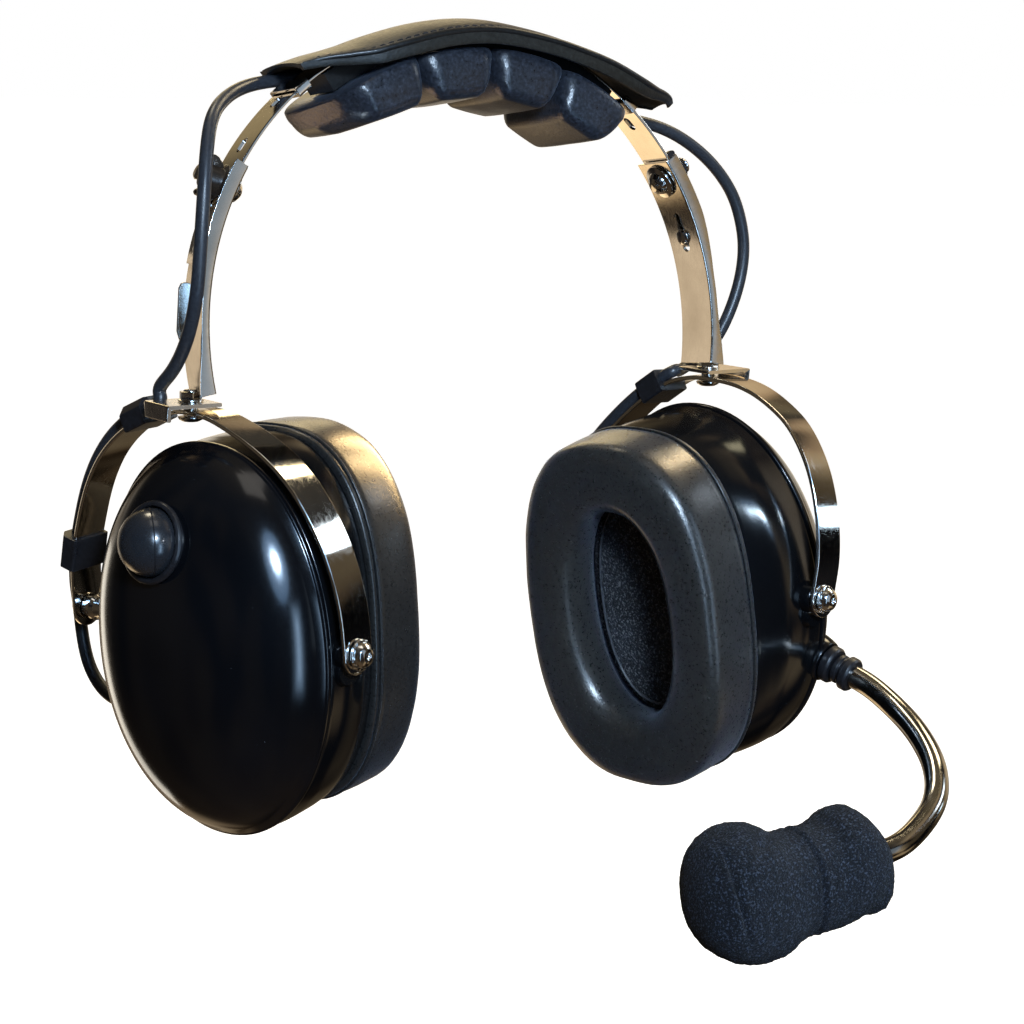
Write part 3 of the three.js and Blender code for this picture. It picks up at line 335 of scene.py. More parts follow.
def mat_foam(name, dark, light, pore, r=0.95, bumpy=0.9, dist=0.0006, sheen=0.3, speck=(0.16, 0.20, 0.28)):
    mt, nt, b = material(name, dark, r, 0.0, 0.25, 0.0, 0.2, sheen)
    v = coords(nt)
    fine = noise_tex(nt, v, pore, 4, 0.8)
    cells = voro(nt, v, pore * 0.9)
    wide = noise_tex(nt, v, 40, 3)
    col = ramp(nt, fine, [(0.36, dark), (0.52, tuple(lerp(d, l, 0.3) for d, l in zip(dark, light))), (0.68, light)])
    patch = node(nt, "ShaderNodeMix", data_type="RGBA", blend_type="MULTIPLY")
    patch.inputs[0].default_value = 0.8
    nt.links.new(col, patch.inputs[6])
    nt.links.new(ramp(nt, wide, [(0.35, (0.55, 0.55, 0.58)), (0.65, (1.5, 1.55, 1.7))]), patch.inputs[7])
    fl = noise_tex(nt, v, pore * 0.95, 1, 0.5)
    mix = node(nt, "ShaderNodeMix", data_type="RGBA")
    nt.links.new(ramp(nt, fl, [(0.54, (0, 0, 0)), (0.70, (1, 1, 1))]), mix.inputs[0])
    nt.links.new(patch.outputs[2], mix.inputs[6])
    mix.inputs[7].default_value = (*speck, 1)
    nt.links.new(mix.outputs[2], b.inputs["Base Color"])
    n1 = bump(nt, b, cells, bumpy * 0.6, dist)
    bump(nt, b, fine, bumpy, dist, n1)
    return mt


mat_foam("windscreen_foam", (0.0006, 0.0008, 0.0013), (0.017, 0.0205, 0.031), 1900, 0.95, 1.0, 0.0009, 0.06, (0.066, 0.084, 0.128))
mat_foam("ear_foam", (0.006, 0.0065, 0.0075), (0.070, 0.075, 0.084), 1700, 0.95, 1.0, 0.0006, 0.08, (0.20, 0.21, 0.23))


def mat_plain(name, color, r0, r1, grain=900, bumpy=0.12, spec=0.5):
    mt, nt, b = material(name, color, r0, 0.0, spec)
    v = coords(nt)
    f = noise_tex(nt, v, grain, 4)
    nt.links.new(ramp(nt, f, [(0.3, tuple(x * 0.75 for x in color)), (0.7, tuple(x * 1.5 for x in color))]), b.inputs["Base Color"])
    to_rough(nt, b, noise_tex(nt, v, 120, 4), r0, r1)
    bump(nt, b, f, bumpy, 0.0001)
    return mt


# lighter grey for the foam's edge ring: part plastic, part a painted highlight that makes the ring read as a lit line
mat_plain("edge_plastic_painted_highlight", (0.045, 0.048, 0.055), 0.22, 0.34)
mat_plain("black_plastic", (0.010, 0.010, 0.012), 0.24, 0.40)
mat_plain("brown_plastic", (0.020, 0.014, 0.010), 0.22, 0.38)
mat_plain("cable_rubber", (0.020, 0.022, 0.027), 0.30, 0.45, 1400, 0.15)
mat_plain("stitch_thread", (0.012, 0.012, 0.014), 0.5, 0.7, 3000, 0.5)

# ------------------------------------------------------------------ mesh helpers
ALL = []


def finish_mesh(name, bm, mat, body, cad=(), sharp=35, subsurf=0):
    bmesh.ops.remove_doubles(bm, verts=bm.verts, dist=1e-7)
    bmesh.ops.recalc_face_normals(bm, faces=bm.faces)
    me = bpy.data.meshes.new(name)
    bm.to_mesh(me)
    bm.free()
    me.shade_smooth()
    if sharp < 180:
        me.set_sharp_from_angle(angle=sharp * D)
    me.materials.append(MATS[mat])
    o = bpy.data.objects.new(name, me)
    bpy.context.scene.collection.objects.link(o)
    if subsurf:
        md = o.modifiers.new("sub", "SUBSURF")
        md.levels = md.render_levels = subsurf
        bake(o)
    if body:
        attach(o, body)
    if cad:
        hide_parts(*([cad] if isinstance(cad, str) else cad))
    ALL.append(o)
    return o


def weighted(o, sharp=30):
    """face-weighted normals, so that flat metal mirrors as flat metal"""
    o.data.set_sharp_from_angle(angle=sharp * D)
    md = o.modifiers.new("wn", "WEIGHTED_NORMAL")
    md.mode = "FACE_AREA"
    md.weight = 100
    md.keep_sharp = True
    bake(o)


def bake(o):
    bpy.context.view_layer.update()
    dg = bpy.context.evaluated_depsgraph_get()
    me = bpy.data.meshes.new_from_object(o.evaluated_get(dg))
    o.modifiers.clear()
    o.data = me


def add_skin(bm, rings, pole0=None, pole1=None, loop=False, cap=True):
    """rings in mm, all of one length, joined into a closed skin"""
    n = len(rings[0])
    vs = [[bm.verts.new(Vector(p) * 0.001) for p in r] for r in rings]
    rows = len(rings) if loop else len(rings) - 1
    for i in range(rows):
        a, b = vs[i], vs[(i + 1) % len(rings)]
        for j in range(n):
            k = (j + 1) % n
            bm.faces.new((a[j], a[k], b[k], b[j]))
    if not loop:
        for r, pole in ((vs[0], pole0), (vs[-1], pole1)):
            if pole is not None:
                c = bm.verts.new(Vector(pole) * 0.001)
                for j in range(n):
                    bm.faces.new((r[j], r[(j + 1) % n], c))
            elif cap:
                bm.faces.new(r)
    return vs


def new_skin(*a, **k):
    bm = bmesh.new()
    add_skin(bm, *a, **k)
    return bm


def fillet(poly, r, seg=3, closed=False, keep=()):
    """rounds the corners of a 2-D polyline"""
    p = [np.asarray(q, float) for q in poly]
    out, n = [], len(p)
    for i in range(n):
        if (not closed and i in (0, n - 1)) or i in keep:
            out.append(p[i])
            continue
        a, b, c = p[i - 1], p[i], p[(i + 1) % n]
        u, w = a - b, c - b
        lu, lw = np.linalg.norm(u), np.linalg.norm(w)
        if lu < 1e-6 or lw < 1e-6:
            out.append(b)
            continue
        u, w = u / lu, w / lw
        ang = math.acos(float(np.clip(u.dot(w), -1, 1)))
        if ang > math.pi - 0.2:
            out.append(b)
            continue
        d = min(r / math.tan(ang / 2), lu * 0.45, lw * 0.45)
        p0, p1 = b + u * d, b + w * d
        for k in range(seg + 1):
            t = k / seg
            out.append((1 - t) ** 2 * p0 + 2 * t * (1 - t) * b + t**2 * p1)
    return out


def add_lathe(bm, prof, mat4, seg=40, round_r=0.25, closed=False):
    """turned piece about +z of mat4; the profile is [radius, height]"""
    pr = fillet(prof, round_r, 3, closed) if round_r else [np.asarray(q, float) for q in prof]
    ang = np.linspace(0, 2 * math.pi, seg, endpoint=False)
    if closed:
        rings = [tf(mat4, np.c_[r * np.cos(ang), r * np.sin(ang), np.full(seg, h)]) for r, h in pr]
        add_skin(bm, rings, loop=True)
        return
    p0 = pr[0] if pr[0][0] < 1e-6 else None
    p1 = pr[-1] if pr[-1][0] < 1e-6 else None
    body = [q for q in pr if q[0] > 1e-6]
    rings = [tf(mat4, np.c_[r * np.cos(ang), r * np.sin(ang), np.full(seg, h)]) for r, h in body]
    add_skin(bm, rings, pole0=None if p0 is None else tf(mat4, V(0, 0, p0[1])), pole1=None if p1 is None else tf(mat4, V(0, 0, p1[1])))


def add_box(bm, size, at, mat4, bev=0.3, seg=2):
    x, y, z = (v / 2 for v in size)
    sub = bmesh.new()
    pts = [(sx * x + at[0], sy * y + at[1], sz * z + at[2]) for sz in (-1, 1) for sx, sy in ((-1, -1), (1, -1), (1, 1), (-1, 1))]
    vs = [sub.verts.new(Vector(tf(mat4, V(*p))) * 0.001) for p in pts]
    for f in ((0, 3, 2, 1), (4, 5, 6, 7), (0, 1, 5, 4), (1, 2, 6, 5), (2, 3, 7, 6), (3, 0, 4, 7)):
        sub.faces.new([vs[i] for i in f])
    if bev:
        bmesh.ops.bevel(sub, geom=sub.edges[:], offset=bev * 0.001, segments=seg, affect="EDGES", profile=0.6)
    me = bpy.data.meshes.new("tmp")
    sub.to_mesh(me)
    sub.free()
    bm.from_mesh(me)
    bpy.data.meshes.remove(me)


def add_prism(bm, outline, depth, mat4, bev=0.25, seg=2):
    """outline in x, y of mat4, extruded along z, centred; edges rounded"""
    sub = bmesh.new()
    lo = [sub.verts.new(Vector(tf(mat4, V(x, y, -depth / 2))) * 0.001) for x, y in outline]
    hi = [sub.verts.new(Vector(tf(mat4, V(x, y, depth / 2))) * 0.001) for x, y in outline]
    sub.faces.new(lo)
    sub.faces.new(hi[::-1])
    n = len(lo)
    for j in range(n):
        k = (j + 1) % n
        sub.faces.new((lo[j], hi[j], hi[k], lo[k]))
    bmesh.ops.recalc_face_normals(sub, faces=sub.faces)
    if bev:
        es = [e for e in sub.edges if e.calc_face_angle(0) > 25 * D]
        bmesh.ops.bevel(sub, geom=es, offset=bev * 0.001, segments=seg, affect="EDGES", profile=0.6)
    me = bpy.data.meshes.new("tmp")
    sub.to_mesh(me)
    sub.free()
    bm.from_mesh(me)
    bpy.data.meshes.remove(me)


def catmull(points, per=24):
    """dense points on the centripetal Catmull-Rom curve through the given ones"""
    P = [np.asarray(p, float) for p in points]
    P = [2 * P[0] - P[1], *P, 2 * P[-1] - P[-2]]
    out = []
    for i in range(1, len(P) - 2):
        p0, p1, p2, p3 = P[i - 1 : i + 3]
        d0, d1, d2 = (max(1e-4, np.linalg.norm(b - a) ** 0.5) for a, b in ((p0, p1), (p1, p2), (p2, p3)))
        t1 = ((p1 - p0) / d0 - (p2 - p0) / (d0 + d1) + (p2 - p1) / d1) * d1
        t2 = ((p2 - p1) / d1 - (p3 - p1) / (d1 + d2) + (p3 - p2) / d2) * d1
        for k in range(per):
            t = k / per
            out.append(p1 + t1 * t + (-3 * p1 + 3 * p2 - 2 * t1 - t2) * t**2 + (2 * p1 - 2 * p2 + t1 + t2) * t**3)
    out.append(P[-2])
    return np.array(out)


def resample(pts, step):
    pts = np.asarray(pts, float)
    l = np.r_[0, np.cumsum(np.linalg.norm(np.diff(pts, axis=0), axis=1))]
    n = max(3, int(round(l[-1] / step)) + 1)
    q = np.linspace(0, l[-1], n)
    return np.stack([np.interp(q, l, pts[:, i]) for i in range(3)], 1)


def add_tube(bm, pts, r, sides=16, round_end=True):
    pts = np.asarray(pts, float)
    t = np.gradient(pts, axis=0)
    t /= np.linalg.norm(t, axis=1)[:, None]
    u = unit(np.cross(t[0], V(0.3, 0.5, 0.81)))
    rings = []
    ang = np.linspace(0, 2 * math.pi, sides, endpoint=False)
    rr = r if callable(r) else (lambda q: r)
    for i, p in enumerate(pts):
        u = unit(u - t[i] * u.dot(t[i]))
        w = np.cross(t[i], u)
        k = rr(i / (len(pts) - 1))
        rings.append(p + k * (np.cos(ang)[:, None] * u + np.sin(ang)[:, None] * w))
    add_skin(bm, rings)


def sup(a, b, n, k):
    t = 2 * math.pi * (np.arange(k) + 0.5) / k
    c, s = np.cos(t), np.sin(t)
    return np.c_[a * np.sign(c) * np.abs(c) ** (2 / n), b * np.sign(s) * np.abs(s) ** (2 / n)]


def even(loop):
    """resamples a closed 2-D loop to even spacing"""
    q = np.r_[loop, loop[:1]]
    l = np.r_[0, np.cumsum(np.linalg.norm(np.diff(q, axis=0), axis=1))]
    x = np.linspace(0, l[-1], len(loop), endpoint=False)
    return np.stack([np.interp(x, l, q[:, i]) for i in range(2)], 1)


KR = 120


def ring(a, b, n, cs, cz, w, k=KR):
    p = even(sup(a, b, n, k * 4))[::4]
    return np.c_[p[:, 0] + cs, np.full(len(p), w), p[:, 1] + cz]


def obj_bool(o, cutters, op="DIFFERENCE"):
    for cobj in cutters:
        md = o.modifiers.new("cut", "BOOLEAN")
        md.operation = op
        md.solver = "EXACT"
        md.object = cobj
    bake(o)
    for cobj in cutters:
        bpy.data.objects.remove(cobj)


def tool(bm):
    bmesh.ops.recalc_face_normals(bm, faces=bm.faces)
    me = bpy.data.meshes.new("tool")
    bm.to_mesh(me)
    bm.free()
    o = bpy.data.objects.new("tool", me)
    bpy.context.scene.collection.objects.link(o)
    return o


def slot_outline(length, width, k=10):
    h, r = (length - width) / 2, width / 2
    a = np.linspace(-math.pi / 2, math.pi / 2, k)
    return [(h + r * math.cos(t), r * math.sin(t)) for t in a] + [(-h - r * math.cos(t), -r * math.sin(t)) for t in a]


def bevel_all(o, width, angle=40, seg=2):
    md = o.modifiers.new("bevel", "BEVEL")
    md.width = width * 0.001
    md.segments = seg
    md.limit_method = "ANGLE"
    md.angle_limit = angle * D
    md.use_clamp_overlap = True
    bake(o)


# ------------------------------------------------------------------ headband
def arc_rings(section, a0, a1, steps, side=1):
    return [np.array([arc_p(side, lerp(a0, a1, i / steps), rho, y) for y, rho in section]) for i in range(steps + 1)]


def strip_section(hw, r0, r1, bow=0.0, rr=0.22):
    return fillet([(-hw, r0), (hw, r0), (hw, r1), (-hw, r1)], rr, 2, closed=True)


# spring strip with its adjusting slots
STEP = 150
spring = finish_mesh("band_spring", new_skin(arc_rings(strip_section(STRIP_HW, R_STRIP0, R_STRIP1), STRIP_END, 180 - STRIP_END, STEP)), "chrome", None)
cutters = []
for side in (1, -1):
    for ln, wd, a in ((12.0, 4.0, 28.6), (3.2, 3.18, PIN_A), *(((4.6, 2.6, 38.2), (4.6, 2.6, 49.0)) if side < 0 else ((4.6, 2.6, 43.5),))):
        bm = bmesh.new()
        add_prism(bm, slot_outline(ln, wd), 6, on_arc(side, a, 79.7), 0)
        cutters.append(tool(bm))
obj_bool(spring, cutters)
weighted(spring)
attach(spring, "headband")
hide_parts("headband_spring")

# leather cover, a padded wrap with rolled rims and stitching
COVER = dict(
    a=[40.8, 42.6, 44.5, 47, 52, 60, 70, 80, 87, 98, 105, 113, 118, 122, 126.5],
    hw=[4.5, 8, 10.5, 13, 16.8, 18.8, 19.5, 19.5, 19.5, 19.5, 19.3, 18, 15.5, 13, 11],
    ridge=[92.6, 91.6, 90.4, 88.6, 86, 84.2, 82.7, 82.1, 82.2, 81.8, 81.6, 82.0, 83.2, 84.9, 86.8],
    drop=[0.8, 1.2, 1.8, 2.6, 3.5, 4.2, 4.6, 4.6, 4.6, 4.3, 4.1, 3.6, 2.6, 1.8, 1.0],
    rim=[1.6, 2.2, 2.8, 3.4, 3.8, 3.9, 3.7, 3.7, 3.7, 3.7, 3.7, 3.5, 3.1, 2.6, 2.0],
)


def cover_vals(a):
    return [mono(a, COVER["a"], COVER[k]) for k in ("hw", "ridge", "drop", "rim")]


def cover_section(a):
    hw, ridge, drop, rim = cover_vals(a)
    t = min(1.5, hw * 0.3)
    f = np.linspace(-1, 1, 31)
    # the top leans into its rim through a soft shoulder, with a sewn crease just inside it
    def top(u, y):
        au = abs(u)
        crease = 0.22 * math.exp(-(((au - 0.86) * hw / 0.7) ** 2))
        return ridge - drop * u * u - crease
    out = [(u * hw, top(u, 0)) for u in f]
    inn = [(u * (hw - t), ridge - lerp(0.75, 1.4, u * u) - drop * u * u) for u in f[::-1]]
    lo = ridge - drop - max(rim, 1.9)
    k = min(0.75, t * 0.45)
    left = [(-hw + 0.25, lo + 0.0), (-hw, lo + k), (-hw - 0.0, lo + rim * 0.5)]
    right = [(hw, lo + rim * 0.5), (hw, lo + k), (hw - 0.25, lo)]
    return left + out + right + [(hw - t + 0.25, lo), (hw - t, lo + k)] + inn + [(-(hw - t), lo + k), (-(hw - t) + -0.25, lo)]


def cover_ring(a):
    return np.array([arc_p(1, a, r, y) for y, r in cover_section(a)])


ca = np.linspace(40.8, 126.5, 120)
cover = finish_mesh("leather_cover", new_skin([cover_ring(a) for a in ca]), "cover_leather", "headband", "head_cover", 50)
# rolled piping along both rims
for sgn, nm in ((-1, "front"), (1, "rear")):
    pts = []
    for a in np.linspace(41.2, 126.0, 110):
        hw, ridge, drop, rim = cover_vals(a)
        pts.append(arc_p(1, a, ridge - drop - 0.15, sgn * (hw - 0.55)))
    bm = bmesh.new()
    add_tube(bm, pts, lambda q: 0.95 * min(1, 0.35 + 6 * q, 0.45 + 6 * (1 - q)), 12)
    finish_mesh("cover_piping_" + nm, bm, "piping_leather", "headband")
    # stitches inside the piping
    bm = bmesh.new()
    for a in np.arange(45.5, 123.5, 1.85):
        hw, ridge, drop, rim = cover_vals(a)
        y = sgn * hw * 0.86
        rr = ridge - drop * 0.86**2 - 0.10
        p = [arc_p(1, a + d, rr + h, y) for d, h in ((-0.62, -0.12), (-0.3, 0.08), (0.3, 0.08), (0.62, -0.12))]
        add_tube(bm, p, 0.2, 6)
    finish_mesh("cover_stitches_" + nm, bm, "stitch_thread", "headband")

# crown cushion: four sewn lobes
PAD_TOP = 73.4
PAD_EDGES = [49.9, 68.3, 86.2, 104.4, 127.6]


def shoulder(d, r):
    return 1 - math.sqrt(max(0.0, 1 - (1 - min(1.0, max(0.0, d / r))) ** 2))


def pad_vals(a):
    """lobe index, place in the lobe, drop of the underside and of the faces in mm, crown"""
    i = 0
    while i < 3 and a > PAD_EDGES[i + 1]:
        i += 1
    lo_, hi_ = PAD_EDGES[i], PAD_EDGES[i + 1]
    u = (a - lo_) / (hi_ - lo_)
    d0, d1 = (a - lo_) * D * 67, (hi_ - a) * D * 67
    under = 9.2 * shoulder(d0, 5.0 if i else 6.5) + (4.6 * shoulder(d1, 5.5) + 2.6 * u if i == 3 else 9.2 * shoulder(d1, 5.0))
    face = 4.2 * shoulder(d0, 4.4) + (6.5 * shoulder(d1, 6.0) if i == 3 else 4.2 * shoulder(d1, 4.4))
    return i, u, under, face, math.sin(math.pi * min(1, max(0, u)))


def pad_section(a):
    i, u, under, face, crown = pad_vals(a)
    depth = 12.3 + 0.9 * crown - under
    hw = 15.9 + 0.5 * crown - face
    b = PAD_TOP - depth
    r = min(3.6, depth * 0.46)
    half = [(hw - 0.9, PAD_TOP), (hw - 0.35, PAD_TOP - 0.25)]
    for j in range(9):
        v = j / 8
        half.append((hw + 0.45 * math.sin(math.pi * v), lerp(PAD_TOP - 0.9, b + r, v)))
    for j in range(1, 12):
        t = j / 12 * math.pi / 2
        half.append((hw - r + r * math.cos(t), b + r - r * math.sin(t)))
    for j in range(8):
        v = j / 8
        half.append(((hw - r) * (1 - v), b - 0.55 * crown * (1 - (1 - v) ** 2)))
    left = [(-y, z) for y, z in half[::-1]]
    return half + [(0.0, b - 0.55 * crown)] + left


def pad_wrinkle(p, strength):
    v = Vector(p) * 0.09
    return strength * (noise.noise(v * 1.0) * 0.5 + noise.noise(v * 3.1) * 0.25)


pa = []
for i in range(4):
    us = 0.5 - 0.5 * np.cos(np.linspace(0, math.pi, 46))
    pa += list(PAD_EDGES[i] + us[:-1] * (PAD_EDGES[i + 1] - PAD_EDGES[i]))
pa.append(PAD_EDGES[4])
prings = []
for a in pa:
    i, u, under, face, crown = pad_vals(a)
    r_ = np.array([arc_p(1, a - (5.6 * max(0.0, -y / 16) * u * u if i == 3 else 0), r, y) for y, r in pad_section(a)])
    cen = r_.mean(0)
    for j in range(len(r_)):
        d = unit(r_[j] - cen)
        pull = min(1.0, under / 9.4)
        # puckers that run into the grooves
        r_[j] += d * (pad_wrinkle(r_[j], 0.16) * (0.3 + pull) - 0.2)
    prings.append(r_)
pad = finish_mesh("crown_cushion", new_skin(prings), "pad_leatherette", "headband", "head_pad", 180)
# sewn channel threads in the grooves
bm = bmesh.new()
for e in PAD_EDGES[1:4]:
    for y in np.arange(-12.6, 12.7, 1.8):
        add_tube(bm, [arc_p(1, e, PAD_TOP - 2.75 + h, y + d) for d, h in ((-0.6, 0.15), (-0.3, -0.12), (0.3, -0.12), (0.6, 0.15))], 0.18, 6)
finish_mesh("channel_stitches", bm, "stitch_thread", "headband")

# foam core stays as it is, hidden between strip and cushion
for side, nm, a0 in ((-1, "left", 51.2), (1, "right", 46.6)):
    bm = bmesh.new()
    outer = fillet([(-7.0, 78.3), (7.0, 78.3), (7.0, 81.1), (-7.0, 81.1)], 0.7, 3, closed=True)
    inner = fillet([(-6.2, 78.98), (6.2, 78.98), (6.2, 80.42), (-6.2, 80.42)], 0.3, 3, closed=True)
    ro = arc_rings(outer, a0, a0 + 3.2, 6, side)
    ri = arc_rings(inner, a0, a0 + 3.2, 6, side)
    add_skin(bm, [*ro, *ri[::-1]], loop=True)
    o = finish_mesh("strip_clip_" + nm, bm, "screw_chrome", None, sharp=40)
    bevel_all(o, 0.15, 50)
    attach(o, "headband")
    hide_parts("cover_clip_" + nm)
for side, nm in ((-1, "left"), (1, "right")):
    bm = bmesh.new()
    add_lathe(bm, [[0, -3.0], [1.9, -2.8], [2.4, -2.1], [2.4, -2.0], [1.3, -2.0], [1.3, 0.75], [2.2, 0.75], [2.2, 1.1], [1.5, 1.5], [0, 1.55]], on_arc(side, PIN_A, 79.7), 36, 0.2)
    finish_mesh("guide_rivet_" + nm, bm, "screw_chrome", "headband", "guide_pin_" + nm)

# ------------------------------------------------------------------ arms
FL = [[-10.9, 83.2], [-6, 81.9], [-1, 80.7], [3, 80.4], [8, 80.4], [13, 80.9], [18, 81.6], [22, 82], [28, 82], [34, 82]]
UNBAND = np.linalg.inv(BAND)
for key in "LR":
    side, nm = SIDE[key], NAME[key]
    arm = "arm_" + nm
    # one bent sheet: web with its front flange, thickness .9 and .8
    def arm_section(a):
        r = mono(a, [q[0] for q in FL], [q[1] for q in FL])
        return [(ARM_HW, R_WEB0), (ARM_HW, R_WEB1), (-ARM_IN + 0.9, R_WEB1), (-ARM_IN + 0.35, R_WEB1 + 0.15), (-ARM_IN, R_WEB1 + 0.6), (-ARM_IN, r), (-ARM_HW, r), (-ARM_HW, R_WEB0 + 0.7), (-ARM_HW + 0.2, R_WEB0 + 0.2), (-ARM_HW + 0.7, R_WEB0)]
    n = 70
    aa = [lerp(-9.2, ARM_TOP, i / n) for i in range(n + 1)]
    web = finish_mesh("stirrup_arm_" + nm, new_skin([np.array([arc_p(side, a, rho, y) for y, rho in arm_section(a)]) for a in aa]), "arm_steel", None)
    bevel_all(web, 0.14, 50)
    cutters = []
    for out_, mat4 in ((slot_outline(11.4, 3.2), on_arc(side, 18.15, 78.4)), (slot_outline(4.2, 4.19), on_arc(side, SCREW_A, 78.4))):
        bm = bmesh.new()
        add_prism(bm, out_, 6, mat4, 0)
        cutters.append(tool(bm))
    obj_bool(web, cutters)
    weighted(web)
    # rear tab
    bm = bmesh.new()
    tab = [(0.2, 79.2), (1.0, 80.2), (2.5, 80.8), (10.2, 80.8), (11.1, 80.3), (11.4, 79.6)]
    add_skin(bm, [np.array([arc_p(side, a, rho, y) for y, rho in ((ARM_IN, R_WEB0 + 0.3), (ARM_HW, R_WEB0 + 0.3), (ARM_HW, r), (ARM_IN, r))]) for a, r in tab])
    o = finish_mesh("arm_tab_" + nm, bm, "arm_steel", None)
    bevel_all(o, 0.12, 50)
    # foot: the web bends outward into a level plate whose end turns down as the swivel stop
    W4 = np.eye(4)
    bm = bmesh.new()
    prof = fillet([(75.9, 58.55), (75.9, 59.4), (90.9, 59.4), (90.9, 55.2), (89.9, 55.2), (89.9, 58.4), (76.05, 58.4)], 0.55, 4, closed=True)
    rings = []
    ys = [-7.0, -6.9, -6.6] + list(np.linspace(-6.3, 6.3, 15)) + [6.6, 6.9, 7.0]
    for y in ys:
        sh = 0.18 if abs(y) > 6.95 else 0.06 if abs(y) > 6.7 else 0
        q = []
        for x, z in prof:
            yy = y
            if z < 58.3 and abs(y) > 6.3:
                yy = math.copysign(6.3, y)
            q.append((side * (x + (sh if x < 80 else -sh)), yy, z))
        rings.append(np.array(q))
    add_skin(bm, rings)
    f = finish_mesh("arm_foot_" + nm, bm, "arm_steel", None)
    bm = bmesh.new()
    add_lathe(bm, [[2.2, 50], [2.2, 64]], frame4(V(1, 0, 0), V(0, 1, 0), V(0, 0, 1), V(side * SWIVEL_X, 0, 0)), 40, 0)
    obj_bool(f, [tool(bm)])
    # the tab and the foot get face-weighted normals; web, tab and foot join the arm
    weighted(o)
    weighted(f)
    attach(web, arm)
    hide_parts(arm)
    for q in (o, f):
        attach(q, arm)
    # clamp screw, wing nut
    S4 = on_arc(side, SCREW_A, 79.7)
    bm = bmesh.new()
    add_lathe(bm, [[0, -5.4], [1.4, -5.3], [2.5, -4.6], [3.2, -3.5], [3.3, -3.0], [4.9, -2.75], [4.9, -2.0], [1.7, -2.0], [1.7, 6.0], [1.5, 6.3], [2.1, 6.6], [2.4, 7.1], [1.9, 7.7], [0, 7.9]], S4, 44, 0.3)
    finish_mesh("clamp_bolt_" + nm, bm, "screw_chrome", arm, "clamp_screw_" + nm)
    bm = bmesh.new()
    add_lathe(bm, [[2.05, 0.8], [5.1, 0.8], [5.1, 1.4], [3.8, 1.9], [3.4, 3.6], [3.3, 5.6], [2.05, 5.6]], S4, 40, 0.3, closed=True)
    for sx in (1, -1):
        wing = [(sx * x, z) for x, z in ((2.3, 1.6), (3.9, 1.7), (4.9, 2.6), (5.6, 4.0), (5.75, 5.4), (5.2, 6.1), (4.3, 5.9), (3.3, 4.9), (2.3, 4.6))]
        w4 = S4 @ frame4(V(1, 0, 0), V(0, 0, 1), V(0, -1, 0), V(0, 0, 0))
        add_prism(bm, wing, 2.3, w4, 0.55, 3)
    o = finish_mesh("wing_grip_" + nm, bm, "brown_plastic" if key == "L" else "black_plastic", None)
    weighted(o)
    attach(o, "wing_nut_" + nm)
    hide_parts("wing_nut_" + nm)
    bm = bmesh.new()
    S4 = frame4(V(1, 0, 0), V(0, 1, 0), V(0, 0, 1), V(side * SWIVEL_X, 0, 0))
    add_lathe(bm, [[0, 54.2], [2.0, 54.3], [3.0, 54.8], [3.3, 55.3], [3.3, 55.6], [1.85, 55.6], [1.85, 62.1], [1.5, 62.4], [0, 62.5]], S4, 40, 0.2)
    add_lathe(bm, [[1.9, 59.5], [3.25, 59.5], [3.3, 59.85], [2.9, 59.95], [1.9, 59.95]], S4, 40, 0.08, closed=True)
    o = finish_mesh("swivel_pin_" + nm, bm, "screw_chrome", arm, "swivel_rivet_" + nm)
    bm = bmesh.new()
    hexa = [(3.05 * math.cos(t * D), 3.05 * math.sin(t * D)) for t in range(14, 374, 60)]
    add_prism(bm, hexa, 2.0, S4 @ frame4(V(1, 0, 0), V(0, 1, 0), V(0, 0, 1), V(0, 0, 60.98)), 0.25, 2)
    o = finish_mesh("swivel_nut_" + nm, bm, "screw_chrome", None)
    weighted(o)
    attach(o, arm)

# ------------------------------------------------------------------ yokes
PATH = {
    "L": [(-YOKE_B, 0), (-46.5, 12.5), (-43, 24), (-38.6, 34), (-33.4, 41.6), (-28, 46.8), (-21.5, 51.2), (-14, 54.6), (-7.5, 56.4), (0, YOKE_H), (7.5, 56.2), (14, 53.9), (20.5, 50.9), (27, 46.9), (33, 41.4), (38.2, 34.4), (43, 25), (46.4, 12.5), (YOKE_B, 0)],
    "R": [(-YOKE_B, 0), (-45.6, 11), (-41.5, 20.5), (-35.8, 29.5), (-29.4, 37.3), (-23.6, 43.3), (-17.5, 48.7), (-12.4, 52.3), (-7.4, 55.4), (0, YOKE_H), (8, 56.9), (15, 56), (21.5, 54), (28, 50.7), (33.6, 46.8), (38.4, 41.4), (43, 33.6), (46.6, 22.4), (48, 11), (YOKE_B, 0)],
}
LINE = {}
for key, P in PATH.items():
    ext = [(P[0][0], -8, 0), *[(x, z, 0) for x, z in P], (P[-1][0], -8, 0)]
    cm = catmull(ext, 40)[40:-40]
    # light smoothing takes the measured points' small kinks out of the curve
    q = resample(cm, 0.25)
    for _ in range(60):
        q[1:-1] = 0.25 * q[:-2] + 0.5 * q[1:-1] + 0.25 * q[2:]
    l = np.r_[0, np.cumsum(np.linalg.norm(np.diff(q, axis=0), axis=1))]
    LINE[key] = (q[:, :2], l)


def strap_w(z):
    q = max(0.0, min(1.0, z / YOKE_H))
    return PIVOT_W * (1 - q) - 1.3 * q**4


def line_at(key, x):
    q, l = LINE[key]
    total = l[-1]
    if x < 0:
        return -YOKE_B, x, 0.0, 1.0
    if x > total:
        return YOKE_B, total - x, 0.0, -1.0
    e = 0.6
    p = [np.interp(x, l, q[:, i]) for i in range(2)]
    a = [np.interp(x - e, l, q[:, i]) for i in range(2)]
    b = [np.interp(x + e, l, q[:, i]) for i in range(2)]
    d = math.hypot(b[0] - a[0], b[1] - a[1])
    return p[0], p[1], (b[0] - a[0]) / d, (b[1] - a[1]) / d


def line_find(key, s0):
    q, l = LINE[key]
    return float(l[np.argmax(q[:, 0] >= s0)])


